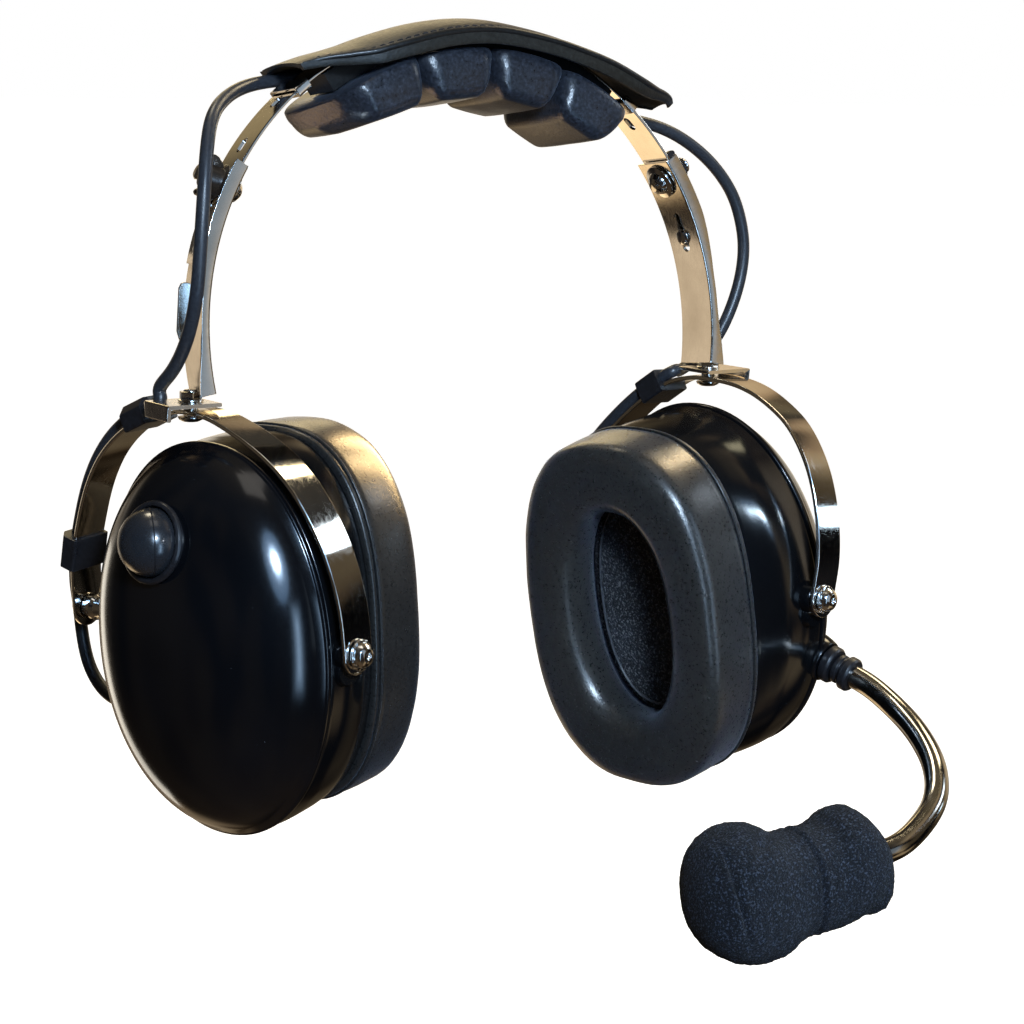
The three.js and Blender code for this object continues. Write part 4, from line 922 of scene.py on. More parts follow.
def on_strap(key, x, off=0.0, w=0.0):
    s_, z_, ts, tz = line_at(key, x)
    lean = 5.2 * D * (1 - max(0.0, z_ / YOKE_H) ** 8)
    ex = unit(V(ts, -math.sin(lean) * tz, tz))
    ey = V(0, math.cos(lean), math.sin(lean))
    ey = unit(ey - ex * ey.dot(ex))
    ez = np.cross(ex, ey)
    at = V(s_, strap_w(z_), z_) + ez * off + ey * w
    return frame4(ex, ey, ez, at)


def strap_pt(key, x, off, w):
    return on_strap(key, x, off, w)[:3, 3]


CLIP_UP = {"L": line_find("L", -17.5), "R": line_find("R", -13.5)}
for key in "LR":
    nm, side = NAME[key], SIDE[key]
    total = LINE[key][1][-1]
    xs = [-5.12, -5.0, -4.8, -4.5, -4.1, -3.6, -3.0, -2.3, -1.5, -0.7]
    xs = xs + list(np.linspace(0, total, 170)) + [total - x for x in xs[::-1]]
    rings = []
    for x in xs:
        over = -x if x < 0 else x - total if x > total else 0
        hw = math.sqrt(max(0.06, (STRAP_W / 2) ** 2 - over**2)) if over > 0 else STRAP_W / 2
        h = STRAP_T / 2
        e = min(0.3, hw * 0.3)
        m4 = YK[key] @ on_strap(key, x)
        sec = [(-hw, -h + e), (-hw + 0.3 * e, -h + 0.3 * e), (-hw + e, -h), (hw - e, -h), (hw - 0.3 * e, -h + 0.3 * e), (hw, -h + e), (hw, h - e), (hw - 0.3 * e, h - 0.3 * e), (hw - e, h), (-hw + e, h), (-hw + 0.3 * e, h - 0.3 * e), (-hw, h - e)]
        rings.append(tf(m4, [(0, y, z) for y, z in sec]))
    o = finish_mesh("yoke_strap_" + nm, new_skin(rings), "chrome", None, sharp=50)
    weighted(o, 60)
    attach(o, "yoke_" + nm)
    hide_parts("yoke_" + nm)
    # clips over the strap
    for part, x, ln in (("upper", CLIP_UP[key], 8), ("lower", CLIP_LOW, 9)):
        w = CAB_W[key]
        e = 1 if w > 0 else -1
        ol = [(-6.1, -1.65), (6.2, -1.65), (6.2, 3.0), (abs(w) + 2.6, 5.2), (abs(w) - 2.7, 5.2), (abs(w) - 3.0, 2.2), (-6.1, 1.6)]
        ol = [(e * u, y) for u, y in ol]
        ol = [tuple(p) for p in fillet(ol, 0.9, 4, closed=True)]
        m4 = YK[key] @ on_strap(key, x) @ frame4(V(0, 1, 0), V(0, 0, 1), V(1, 0, 0), V(0, 0, 0))
        bm = bmesh.new()
        add_prism(bm, ol, ln, m4, 0.3)
        o = finish_mesh("strap_clip_%s_%s" % (part, nm), bm, "black_plastic", None)
        weighted(o)
        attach(o, "yoke_" + nm)
        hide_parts("cable_clip_%s_%s" % (part, nm))

# ------------------------------------------------------------------ ear cups
def dome_w(s, z):
    q = (abs((s - DOME["s"]) / DOME["a"]) ** DOME["n"] + abs((z - DOME["z"]) / DOME["b"]) ** DOME["n"]) ** (1 / DOME["n"])
    return -DOME["h"] * max(0.0, 1 - q ** DOME["m"]) ** (1 / DOME["m"])


def dome_k(w):
    return max(0.0, 1 - (-w / DOME["h"]) ** DOME["m"]) ** (1 / DOME["m"])


_s, _z, _e = 2.3, 27.3, 0.5
BTN_AT = V(_s, dome_w(_s, _z), _z)
BTN_N = unit(V((dome_w(_s + _e, _z) - dome_w(_s - _e, _z)) / (2 * _e), -1, (dome_w(_s, _z + _e) - dome_w(_s, _z - _e)) / (2 * _e)))
GLAND_AT, GLAND_DIR = V(40.5, -9, -22.9), unit(V(0.948, 0, -0.318))
BASE = [[SPLIT_W + 0.3, 37.6, 50.8, 2.07], [1, 37.8, 50.9, 2.08], [7.5, 36.7, 50.4, 2.2], [13, 34.4, 49.8, 2.32], [17.6, 32.2, 49.0, 2.42]]


def base_ring(w, inset):
    a, b, n = (mono(w, [q[0] for q in BASE], [q[i] for q in BASE]) for i in (1, 2, 3))
    k = max(0.0, w / 17.6)
    return ring(a - inset, b - inset, n, lerp(DOME["s"], SEAL["s"], k), lerp(DOME["z"], SEAL["z"], k), w)


for key in "LR":
    nm, side = NAME[key], SIDE[key]
    body, C = "cup_" + nm, CP[key]
    # dome
    rings = []
    for be in list(np.linspace(88.5, 60, 14)) + list(np.linspace(58, 20.5, 24)):
        r, u = math.cos(be * D) ** (2 / DOME["m"]), math.sin(be * D) ** (2 / DOME["m"])
        rings.append(ring(DOME["a"] * r, DOME["b"] * r, DOME["n"], DOME["s"], DOME["z"], -DOME["h"] * u))
    k = dome_k(SPLIT_W)
    edge = []
    for be in (19.0, 17.5, 16.3):
        r, u = math.cos(be * D) ** (2 / DOME["m"]), math.sin(be * D) ** (2 / DOME["m"])
        w = -DOME["h"] * u
        if w < SPLIT_W - 2.1:
            edge.append((DOME["a"] * r, DOME["b"] * r, w))
    lip = [(SPLIT_W - 1.95, 0.0), (SPLIT_W - 1.75, 0.12), (SPLIT_W - 1.6, 0.42), (SPLIT_W - 1.45, 0.62), (SPLIT_W - 1.15, 0.7), (SPLIT_W - 0.4, 0.7), (SPLIT_W - 0.12, 0.62), (SPLIT_W, 0.45)]
    edge += [(DOME["a"] * k + g, DOME["b"] * k + g, w) for w, g in lip]
    rings += [ring(a, b, DOME["n"], DOME["s"], DOME["z"], w) for a, b, w in edge]
    rings += [ring(DOME["a"] * k - 2.0, DOME["b"] * k - 2.0, DOME["n"], DOME["s"], DOME["z"], SPLIT_W)]
    for be in (22, 40, 60, 75):
        r, u = math.cos(be * D) ** (2 / DOME["m"]), math.sin(be * D) ** (2 / DOME["m"])
        rings.append(ring((DOME["a"] - 2) * r, (DOME["b"] - 2) * r, DOME["n"], DOME["s"], DOME["z"], -(DOME["h"] - 2) * u))
    rings = [tf(C, r) for r in rings]
    bm = new_skin(rings, pole0=tf(C, V(DOME["s"], -DOME["h"], DOME["z"])), pole1=tf(C, V(DOME["s"], -DOME["h"] + 2, DOME["z"])))
    o = finish_mesh("dome_" + nm, bm, "gloss_black", body, "cup_shell_" + nm, 60)
    if key == "R":
        bm = bmesh.new()
        add_lathe(bm, [[4.35, -6], [6.9, -6], [6.6, -3.4], [6.2, -1.4], [5.8, -0.1], [4.35, 0]], C @ aim(GLAND_AT, GLAND_DIR), 48, 0.4, closed=True)
        finish_mesh("gland_boss", bm, "gloss_black", body)
    # base tub with pivot lugs
    ws = [SPLIT_W + 0.3, SPLIT_W + 0.55, SPLIT_W + 0.9] + list(np.linspace(-3.8, 17.0, 22)) + [17.4, 17.6]
    ins = [0.35, 0.1, 0.0] + [0] * 22 + [0.1, 0.4]
    outer = [base_ring(w, i) for w, i in zip(ws, ins)]
    inner = [base_ring(w, 2.1) for w in (17.6, 12, 6, 0, SPLIT_W + 0.3)]
    bm = bmesh.new()
    add_skin(bm, [tf(C, r) for r in outer + inner], loop=True)
    finish_mesh("base_tub_" + nm, bm, "gloss_base", body, "cup_base_" + nm, 50)
    bm = bmesh.new()
    ax = aim(V(0, 0, 0), V(1, 0, 0))
    add_lathe(bm, [[2.2, 36.5], [5.6, 36.5], [5.0, 40], [4.6, 43], [4.6, 45.7], [4.2, 46.2], [2.2, 46.2]], C @ ax, 40, 0.35, closed=True)
    rr = [sup(4.5 - 0.2 * i, h, 2.2, 28) for i, h in enumerate((5.4, 4.7, 4.0, 3.4))]
    add_skin(bm, [tf(C, [(s_, w, z - 5.2 + 0.15 * i) for w, z in q]) for i, (q, s_) in enumerate(zip(rr, (36.6, 40, 42.8, 44.6)))])
    add_lathe(bm, [[2.2, 29], [5.6, 29], [4.8, 32], [4.6, 34.9], [4.3, 35.3], [2.2, 35.3]], C @ aim(V(0, 0, 0), V(-1, 0, 0)), 40, 0.3, closed=True)
    finish_mesh("pivot_lugs_" + nm, bm, "gloss_base", body)

    # ear seal
    def so(ins_, w):
        return ring(SEAL["a"] - ins_, SEAL["b"] - ins_, SEAL["n"], SEAL["s"], SEAL["z"], w)

    def si(off, w):
        return ring(SEAL["oa"] + off, SEAL["ob"] + off, SEAL["on"], SEAL["s"], SEAL["z"], w)

    outp = [(1.2, 17.95), (0.5, 18.1), (0.2, 18.6), (0.15, 19.3), (0.55, 19.75), (0.75, 20.0), (0.5, 20.3), (0.1, 20.9), (-0.05, 22.5), (-0.1, 25), (-0.1, 28), (0.0, 31), (0.1, 33.5), (0.35, 35.0), (1.0, 36.5), (2.1, 37.7), (3.5, 38.4), (5.0, 38.72), (6.9, 38.82)]
    inp = [(5.0, 38.62), (3.9, 38.25), (2.8, 37.6), (1.8, 36.7), (1.0, 35.6), (0.45, 34.3), (0.15, 32.8), (0.1, 31), (0.2, 29), (0.6, 26.8), (1.5, 24.8), (2.8, 23.2), (4.2, 22.4), (5.2, 22.0), (5.2, 17.95)]
    # 33.36-6.9 against 16.26+5: a crowned front face between the two lips
    mid = []
    for t_ in (0.15, 0.3, 0.45, 0.6, 0.75, 0.9):
        a_ = lerp(SEAL["a"] - 6.9, SEAL["oa"] + 5.0, t_)
        b_ = lerp(SEAL["b"] - 6.9, SEAL["ob"] + 5.0, t_)
        n_ = lerp(SEAL["n"], SEAL["on"], t_)
        mid.append(ring(a_, b_, n_, SEAL["s"], SEAL["z"], lerp(38.75, 38.62, t_) + 0.28 * math.sin(math.pi * t_)))
    rr = [so(*q) for q in outp] + mid + [si(*q) for q in inp]
    wr = []
    for i, q in enumerate(rr):
        q = np.array(q)
        if 8 <= i < len(rr) - 2:
            for j in range(len(q)):
                p = Vector(q[j])
                nz = noise.noise(p * 0.06 + Vector((3.1 * side, 0, 0))) * 0.45 + noise.noise(p * 0.17) * 0.16
                ctr = V(SEAL["s"], q[j][1], SEAL["z"])
                rad = unit(q[j] - ctr)
                if i < 19:
                    q[j] = q[j] + rad * (nz - 0.2) * 0.8
                else:
                    q[j] = q[j] + V(0, 1, 0) * (nz - 0.2) * 0.5
        wr.append(tf(C, q))
    seal = finish_mesh("seal_cushion_" + nm, new_skin(wr, loop=True), "seal_leatherette", body, "ear_seal_" + nm, 180)
    # heat-sealed welt behind the cushion
    bm = bmesh.new()
    w_ = [tf(C, so(0.35 + 0.42 * math.cos(t_) - 0.3, 20.0 + 0.42 * math.sin(t_))) for t_ in np.linspace(0, 2 * math.pi, 8, endpoint=False)]
    add_skin(bm, w_, loop=True)
    finish_mesh("seal_welt_" + nm, bm, "seal_leatherette", body, sharp=180)
    # acoustic foam with its edge ring
    rings = []
    for f_, h in ((1.0, 17.7), (1.0, 20.2), (0.985, 20.9), (0.95, 21.3), (0.88, 21.5), (0.75, 21.6), (0.6, 21.7), (0.45, 21.75), (0.3, 21.8), (0.15, 21.82)):
        q = ring(20.6 * f_, 34.0 * f_, 2.3, SEAL["s"], SEAL["z"], h)
        if f_ < 0.97:
            q = q + np.array([[0, 0.25 * noise.noise(Vector(p) * 0.35), 0] for p in q])
        rings.append(tf(C, q))
    foam = finish_mesh("foam_disc_" + nm, new_skin(rings, pole1=tf(C, V(SEAL["s"], 21.83, SEAL["z"]))), "ear_foam", body, "ear_foam_" + nm, 180)
    bm = bmesh.new()
    w_ = [tf(C, si(0.9 + 0.4 * math.cos(t_), 22.35 + 0.4 * math.sin(t_))) for t_ in np.linspace(0, 2 * math.pi, 8, endpoint=False)]
    add_skin(bm, w_, loop=True)
    # the edge ring takes the lighter grey with its painted highlight line
    finish_mesh("foam_edge_" + nm, bm, "edge_plastic_painted_highlight", body, sharp=180)

    # pivots
    def screw(from_, tip):
        return [[0, tip], [1.9, tip], [1.9, from_], [3.9, from_], [3.9, from_ + 0.65], [3.25, from_ + 0.75], [3.15, from_ + 1.6], [2.7, from_ + 2.3], [1.8, from_ + 2.75], [0.9, from_ + 2.9], [0.75, from_ + 2.2], [0, from_ + 2.1]]

    for nmf, d, tip in (("front", 1, 43.2), ("rear", -1, 31.5)):
        m4 = C @ aim(V(0, 0, 0), V(d, 0, 0))
        bm = bmesh.new()
        add_lathe(bm, screw(48.1, tip), m4, 40, 0.25)
        # serrated washer under the head
        teeth = 18
        ol = []
        for j in range(teeth * 2):
            r_ = 3.85 if j % 2 == 0 else 3.45
            t_ = math.pi * j / teeth
            ol.append((r_ * math.cos(t_), r_ * math.sin(t_)))
        add_prism(bm, ol, 0.3, m4 @ frame4(V(1, 0, 0), V(0, 1, 0), V(0, 0, 1), V(0, 0, 48.95)), 0)
        finish_mesh("pivot_bolt_%s_%s" % (nmf, nm), bm, "screw_chrome", body, "pivot_screw_%s_%s" % (nmf, nm))
    bm = bmesh.new()
    add_lathe(bm, [[2.2, 35.6], [3.5, 35.6], [3.5, 38.4], [2.9, 39.2], [2.9, 42.7], [3.5, 43.5], [3.5, 46.2], [2.2, 46.2]], C @ aim(V(0, 0, 0), V(-1, 0, 0)), 36, 0.25, closed=True)
    finish_mesh("pivot_sleeve_" + nm, bm, "screw_chrome", body, "pivot_spacer_" + nm)
    # rim screw under the cup: aims down
    m4 = C @ frame4(V(1, 0, 0), V(0, -1, 0), V(0, 0, -1), V(-8.5, SCREW_W, 0))
    bm = bmesh.new()
    add_lathe(bm, [[0, 46.5], [1.2, 46.5], [1.2, 50.2], [2.1, 50.2], [2.1, 51.0], [1.6, 51.6], [0.7, 51.85], [0.5, 51.3], [0, 51.3]], m4, 32, 0.15)
    finish_mesh("rim_screw_" + nm, bm, "screw_chrome", body, "cup_screw_" + nm)
    bm = bmesh.new()
    add_lathe(bm, [[2.1, 24.2], [3.6, 24.2], [3.6, 31.2], [4.6, 31.2], [4.6, 32.4], [3.4, 33.2], [3.3, 33.9], [2.95, 34.1], [3.25, 34.4], [3.2, 35.1], [2.85, 35.3], [3.1, 35.6], [3.0, 36.4], [2.75, 37.4], [2.1, 37.6]], C @ aim(V(0, GLAND_W, GLAND_Z), V(-1, 0, 0)), 32, 0.12, closed=True)
    finish_mesh("strain_relief_" + nm, bm, "black_plastic", body, "cable_gland_" + nm)

# button on the plain cup
B4 = CP["L"] @ aim(BTN_AT, BTN_N)
bm = bmesh.new()
add_lathe(bm, [[8.95, -3.2], [9.4, -3.2], [9.4, 0.5], [10.5, 0.6], [10.5, 1.1], [10.2, 1.7], [9.7, 2.0], [9.2, 1.95], [8.95, 1.5]], B4, 72, 0.2, closed=True)
finish_mesh("button_ring", bm, "black_plastic", "cup_left", "button_bezel")
bm = bmesh.new()
prof = [[0, -3.0], [8.6, -3.0], [8.6, 1.0]]
for t in np.linspace(5, 85, 17):
    prof.append([8.6 * math.cos(t * D) ** 0.92, 1.2 + 8.05 * math.sin(t * D) ** 1.0])
prof.append([0, 9.28])
add_lathe(bm, prof, B4, 72, 0)
finish_mesh("button_cap", bm, "button_black", "push_button", "push_button", 50)

bm = bmesh.new()
_n = unit(BTN_N)
_v = unit(np.linalg.inv(np.array(CP["L"])[:3, :3]) @ V(-0.36, -0.91, 0.17))
_u = unit(V(0, 0, 1) - _v * _v[2])
arc = []
for a_ in np.linspace(-100, 100, 81):
    q = _u * math.sin(a_ * D) + _v * math.cos(a_ * D)
    sq = float(q @ _n)
    if sq < 0.06:
        continue
    t = math.asin(min(1.0, sq))
    arc.append(tf(CP["L"], BTN_AT + _n * (1.2 + 8.07 * math.sin(t)) + unit(q - _n * sq) * 8.62 * math.cos(t) ** 0.92))
add_tube(bm, arc, 0.17, 8)
finish_mesh("button_mould_line", bm, "black_plastic", "push_button")

# lead inlet and boom on the other cup
C = CP["R"]
bm = bmesh.new()
add_lathe(bm, [[0, 46], [4.2, 46], [4.2, 50.6], [6.5, 50.6], [6.5, 52.2], [6.2, 52.4], [6.2, 52.9], [6.5, 53.1], [6.5, 55.4], [6.0, 56.2], [2.0, 56.2], [1.9, 54.5], [0, 54.5]], C @ frame4(V(1, 0, 0), V(0, -1, 0), V(0, 0, -1), V(-10, LEAD_W, 0)), 48, 0.25)
finish_mesh("lead_socket", bm, "black_plastic", "cup_right", "lead_inlet")
G4 = C @ aim(GLAND_AT, GLAND_DIR)
bm = bmesh.new()
add_lathe(bm, [[3.0, -6], [4.0, -6], [4.0, 0.35], [5.3, 0.35], [5.3, 2.4], [4.8, 3.1], [3.0, 3.2]], G4, 44, 0.3, closed=True)
finish_mesh("gland_nut", bm, "black_plastic", "cup_right", "boom_gland")
bm = bmesh.new()
add_lathe(bm, [[0, -5.6], [2.7, -5.6], [2.7, 3.5], [3.9, 3.5], [4.2, 4.1], [4.2, 5.1], [3.7, 5.4], [3.7, 5.9], [4.3, 6.2], [4.9, 6.7], [4.9, 8.5], [4.4, 9.15], [0, 9.2]], G4, 44, 0.25)
finish_mesh("boom_nut", bm, "black_plastic", "boom", "boom_collar")
P0, P1 = tf(C, GLAND_AT + GLAND_DIR * 9.3), tf(C, GLAND_AT + GLAND_DIR * 13.5)
END, TIP = V(66, -101, -54), V(18, -96, -60.5)
AX = unit(TIP - END)
pts = catmull([P0, P1, V(101.5, -63, -30.4), V(98.5, -75.2, -34.7), V(94, -86, -39.9), V(87.5, -93.7, -45.7), V(77.5, -98.6, -50.6), END - AX * 1.5, END + AX * 8.0], 30)
pts = resample(pts, 0.8)
for _ in range(25):
    pts[1:-1] = 0.25 * pts[:-2] + 0.5 * pts[1:-1] + 0.25 * pts[2:]
bm = bmesh.new()
add_tube(bm, pts, BOOM_R, 32)
finish_mesh("boom_pipe", bm, "boom_chrome", "boom", "boom_tube", 60)

# windscreen: one foam sleeve with two bulbs
M4 = aim(END, AX, V(0, 0, 1))
hs = [4.7, 5.2, 6.5, 9.4, 12.9, 16.5, 20, 23.6, 28, 32.5, 35.1, 38.7, 42.2, 46.7, 50.2, 54.7, 57.2, 58.7, 59.1]
up_r = [3.5, 6.5, 9.6, 13.2, 15.3, 14.8, 12.8, 12.4, 12.9, 13.2, 14.0, 16.3, 18.1, 18.9, 18.0, 15.6, 11.5, 6.5, 3.2]
dn_r = [4.5, 9.5, 12.6, 14.0, 14.0, 14.7, 15.3, 15.0, 14.9, 15.6, 17.2, 18.3, 18.3, 17.6, 16.3, 13.0, 9.6, 6.0, 3.0]
dp_r = [4.2, 8.5, 10.8, 12.4, 13.0, 13.1, 12.8, 12.4, 12.2, 12.6, 13.2, 14.2, 14.9, 15.1, 14.6, 12.8, 9.6, 6.0, 2.9]
rings = []
for h in list(4.7 + (59.1 - 4.7) * (0.5 - 0.5 * np.cos(np.linspace(0, math.pi, 130)))):
    au, ad, bb = (mono(h, hs, q) for q in (up_r, dn_r, dp_r))
    q = even(sup(1.0, 1.0, 2.25, 520))[::5]
    seam = 1.3 * math.exp(-(((h - 28.2) / 0.5) ** 2)) - 0.25 * math.exp(-(((h - 29.4) / 0.6) ** 2)) - 0.25 * math.exp(-(((h - 27.0) / 0.6) ** 2))
    out = []
    for x, y in q:
        x, y = x * (au if x > 0 else ad), y * bb
        ang = math.atan2(y, x)
        d = unit(V(x, y, 0))
        p = Vector((x, y, h))
        nz = 0.60 * noise.noise(p * 0.10) + 0.30 * noise.noise(p * 0.45) + 0.22 * noise.noise(p * 1.3) + 0.16 * noise.noise(p * 2.6)
        # crease that runs round the outer bulb, and a fold along its top
        front = math.exp(-(((ang + 1.05) / 0.75) ** 2))
        crease = 1.6 * front * math.exp(-(((h - 53.2 + 1.6 * (ang + 1.0) ** 2) / 0.45) ** 2))
        ridge_ = 0.5 * front * math.exp(-(((h - 54.6 + 1.6 * (ang + 1.0) ** 2) / 0.7) ** 2))
        fold = 2.0 * math.exp(-(((ang + 0.45 + (h - 41) * 0.03) / 0.09) ** 2)) * math.exp(-(((h - 40.5) / 4.2) ** 4))
        k = nz * 0.9 - 0.15 - seam - crease + ridge_ - fold
        f_ = min(1, (h - 4.7) / 2 + 0.15, (59.1 - h) / 2 + 0.15)
        out.append(V(x, y, h) + d * k * f_)
    rings.append(tf(M4, out))
wind = finish_mesh("foam_windscreen", new_skin(rings), "windscreen_foam", "boom", "windscreen", 180)

# ------------------------------------------------------------------ crossover cable
def cable(name, pts, body=None, cad=(), r=CABLE_R, smooth_n=10):
    q = resample(pts, 1.2)
    for _ in range(smooth_n):
        q[1:-1] = 0.25 * q[:-2] + 0.5 * q[1:-1] + 0.25 * q[2:]
    bm = bmesh.new()
    add_tube(bm, q, r, 16)
    return finish_mesh(name, bm, "cable_rubber", body, cad, 60), q


for key in "LR":
    nm, side = NAME[key], SIDE[key]
    yb, cb, ab = "yoke_" + nm, "cup_" + nm, "arm_" + nm
    Y = YK[key]
    run = [tf(Y, strap_pt(key, lerp(9.6, CLIP_UP[key] + 5.5, i / 14), CAB_OFF, CAB_W[key])) for i in range(15)]
    cable("yoke_lead_" + nm, catmull(run, 8), yb, "cable_yoke_" + nm)
    # loop into the cup
    cp = lambda s_, w, z: tf(CP[key], V(s_, w, z))
    a_ = tf(Y, strap_pt(key, 9.4, CAB_OFF, CAB_W[key]))
    b_ = tf(Y, strap_pt(key, 6.2, CAB_OFF + 1.0, CAB_W[key] + 0.8))
    lp = [a_, b_, tf(Y, V(-54.0, 8.4, -1)), tf(Y, V(-53, 8.6, -10)), tf(Y, V(-50.2, 8.4, -18)), cp(-44.4, GLAND_W, -24.4), cp(-38.4, GLAND_W, GLAND_Z), cp(-33, GLAND_W, GLAND_Z), cp(-25, GLAND_W, GLAND_Z)]
    o, q = cable("cup_lead_" + nm, catmull(lp, 16), None, "cable_loop_" + nm)
    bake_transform(o)
    # free span, split where it passes the arm
    w0 = tf(Y, strap_pt(key, CLIP_UP[key] + 5.2, CAB_OFF, CAB_W[key]))
    w1 = tf(Y, strap_pt(key, CLIP_UP[key] + 8.4, CAB_OFF + 0.3, CAB_W[key]))
    if key == "L":
        mid = [(-84.8, 12.7, 60.5), (-83.6, 5.4, 66.4), (-83.2, -2.6, 75.5), (-83.2, -8.0, 87), (-82.6, -9.2, 99), (-81.2, -8.4, 111), (-78.6, -5.0, 121.6), (-74.4, 0.4, 129.6), (-66.5, 8.0, 134.6), (-55.5, 15.2, 137.8)]
        end = [arc_p(side, 57.6, 79.6, 9.3), arc_p(side, 61.4, 77.7, 9.3)]
        zs = 80.0
    else:
        mid = [(83.5, 16.2, 57), (91.0, 15.4, 61.5), (95.6, 15, 66), (98.3, 15, 70), (101.7, 15, 76.9), (104, 15, 84.3), (104.8, 15, 91.8), (103.9, 15, 97.8), (100.7, 15, 106.5), (95.4, 15, 113.4), (88.9, 15, 119), (80.3, 15.3, 124.2), (72.6, 16.2, 127.2), (65.6, 17.0, 128.6), (58.6, 17.4, 130.3)]
        end = [arc_p(side, 46.5, 78.4, 9.4), arc_p(side, 50.2, 76.9, 9.3)]
        zs = 86.0
    q = resample(catmull([w0, w1, *[V(*p) for p in mid], *end], 16), 1.2)
    for _ in range(10):
        q[1:-1] = 0.25 * q[:-2] + 0.5 * q[1:-1] + 0.25 * q[2:]
    cutat = int(np.argmax(q[:, 2] > zs))
    for part, seg_, (ba, bb) in (("low", q[: cutat + 1], (yb, ab)), ("high", q[cutat:], (ab, "headband"))):
        bm = bmesh.new()
        add_tube(bm, seg_, CABLE_R, 16)
        o = finish_mesh("span_%s_%s" % (part, nm), bm, "cable_rubber", None, "cable_span_" + nm if part == "low" else (), 60)
        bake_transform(o)
pts = []
for i in range(30):
    a = lerp(51.6, 117.4, i / 29)
    pts.append(arc_p(1, a, float(np.interp(a, [0, 110, 117.4, 118], [76.8, 76.8, 77.3, 77.4])), 9.3))
cable("hidden_lead", pts, "headband", "cable_center")

# CAD nodes that stay
for n, mt in {"seal_plate_left": "black_plastic", "seal_plate_right": "black_plastic", "speaker_left": "speaker_steel", "speaker_right": "speaker_steel", "button_switch": "black_plastic", "mic_capsule": "black_plastic", "pad_core": "piping_leather"}.items():
    o = NODES[n]
    if not o.data.materials:
        o.data.materials.append(None)
    for i in range(len(o.material_slots)):
        o.material_slots[i].link = "OBJECT"
        o.material_slots[i].material = MATS[mt]

# ------------------------------------------------------------------ stage and light
me = bpy.data.meshes.new("floor")
me.from_pydata([(-60, -60, 0), (60, -60, 0), (60, 60, 0), (-60, 60, 0)], [], [(0, 1, 2, 3)])
mt = bpy.data.materials.new("floor")
mt.use_nodes = True
fb = mt.node_tree.nodes["Principled BSDF"]
fb.inputs["Base Color"].default_value = (0.85, 0.85, 0.85, 1)
fb.inputs["Roughness"].default_value = 0.9
fb.inputs["Emission Color"].default_value = (1, 1, 1, 1)
fb.inputs["Emission Strength"].default_value = 0.95
me.materials.append(mt)
floor = bpy.data.objects.new("floor", me)
floor.location = (0, 0, -0.32)
floor.visible_glossy = False
floor.visible_diffuse = False
bpy.context.scene.collection.objects.link(floor)


def area(name, toward, dist, size, radiance, color=(1, 1, 1), shape="RECTANGLE", at=(0, 0, 0.02), roll=0.0):
    """soft light in the given direction from a point near the object, with its radiance"""
    l = bpy.data.lights.new(name, "AREA")
    l.shape = shape
    l.size, l.size_y = size
    k = 1.0 if shape == "RECTANGLE" else math.pi / 4
    l.energy = radiance * math.pi * size[0] * size[1] * k
    l.color = color
    o = bpy.data.objects.new(name, l)
    d = Vector(toward).normalized()
    o.location = Vector(at) + d * dist
    q = d.to_track_quat("Z", "Y").to_euler()
    o.rotation_euler = q
    bpy.context.scene.collection.objects.link(o)
    return o


world = bpy.data.worlds.new("studio")
bpy.context.scene.world = world
world.use_nodes = True
wn = world.node_tree
bg = wn.nodes["Background"]
tc = wn.nodes.new("ShaderNodeTexCoord")
sep = wn.nodes.new("ShaderNodeSeparateXYZ")
wn.links.new(tc.outputs["Generated"], sep.inputs[0])


def wramp(src, stops, lo=0.0, hi=1.0):
    mr = wn.nodes.new("ShaderNodeMapRange")
    mr.inputs["From Min"].default_value = lo
    mr.inputs["From Max"].default_value = hi
    wn.links.new(src, mr.inputs["Value"])
    r = wn.nodes.new("ShaderNodeValToRGB")
    e = r.color_ramp.elements
    while len(e) < len(stops):
        e.new(0.5)
    for i, (p, col) in enumerate(stops):
        e[i].position = (p - lo) / (hi - lo)
        e[i].color = (*col, 1)
    wn.links.new(mr.outputs["Result"], r.inputs["Fac"])
    return r.outputs["Color"]


def wmix(kind, a, b, fac=1.0):
    n = wn.nodes.new("ShaderNodeMix")
    n.data_type = "RGBA"
    n.blend_type = kind
    f_, a_, b_ = [q for q in n.inputs if q.enabled][:3]
    if isinstance(fac, float):
        f_.default_value = fac
    else:
        wn.links.new(fac, f_)
    for sock, v in ((a_, a), (b_, b)):
        if isinstance(v, tuple):
            sock.default_value = (*v, 1)
        else:
            wn.links.new(v, sock)
    return [q for q in n.outputs if q.enabled][0]


def wnoise(scale, detail, stops, stretch=(1, 1, 1)):
    mp = wn.nodes.new("ShaderNodeMapping")
    mp.inputs["Scale"].default_value = stretch
    wn.links.new(tc.outputs["Generated"], mp.inputs["Vector"])
    n = wn.nodes.new("ShaderNodeTexNoise")
    n.inputs["Scale"].default_value = scale
    n.inputs["Detail"].default_value = detail
    wn.links.new(mp.outputs["Vector"], n.inputs["Vector"])
    return wramp(n.outputs["Fac"], stops)


# the room that the metal and the gloss mirror: beige behind the object, tan floor, dark towards the front
wall = wn.nodes.new("ShaderNodeVectorMath")
wall.operation = "DOT_PRODUCT"
wall.inputs[1].default_value = (0.539, 0.826, -0.163)
wn.links.new(tc.outputs["Generated"], wall.inputs[0])
far_mask = wramp(wall.outputs["Value"], [(-1.0, (0, 0, 0)), (0.52, (0.0, 0.0, 0.0)), (0.62, (0.10, 0.10, 0.10)), (0.70, (0.85, 0.85, 0.85)), (0.85, (1, 1, 1))], -1, 1)
far_col = wramp(sep.outputs[2], [(-1.0, (0.40, 0.27, 0.15)), (-0.55, (0.55, 0.41, 0.25)), (-0.12, (1.0, 0.88, 0.70)), (0.10, (0.95, 0.84, 0.68)), (0.32, (0.34, 0.26, 0.13)), (0.75, (0.24, 0.18, 0.09)), (1.0, (0.20, 0.16, 0.10))], -1, 1)
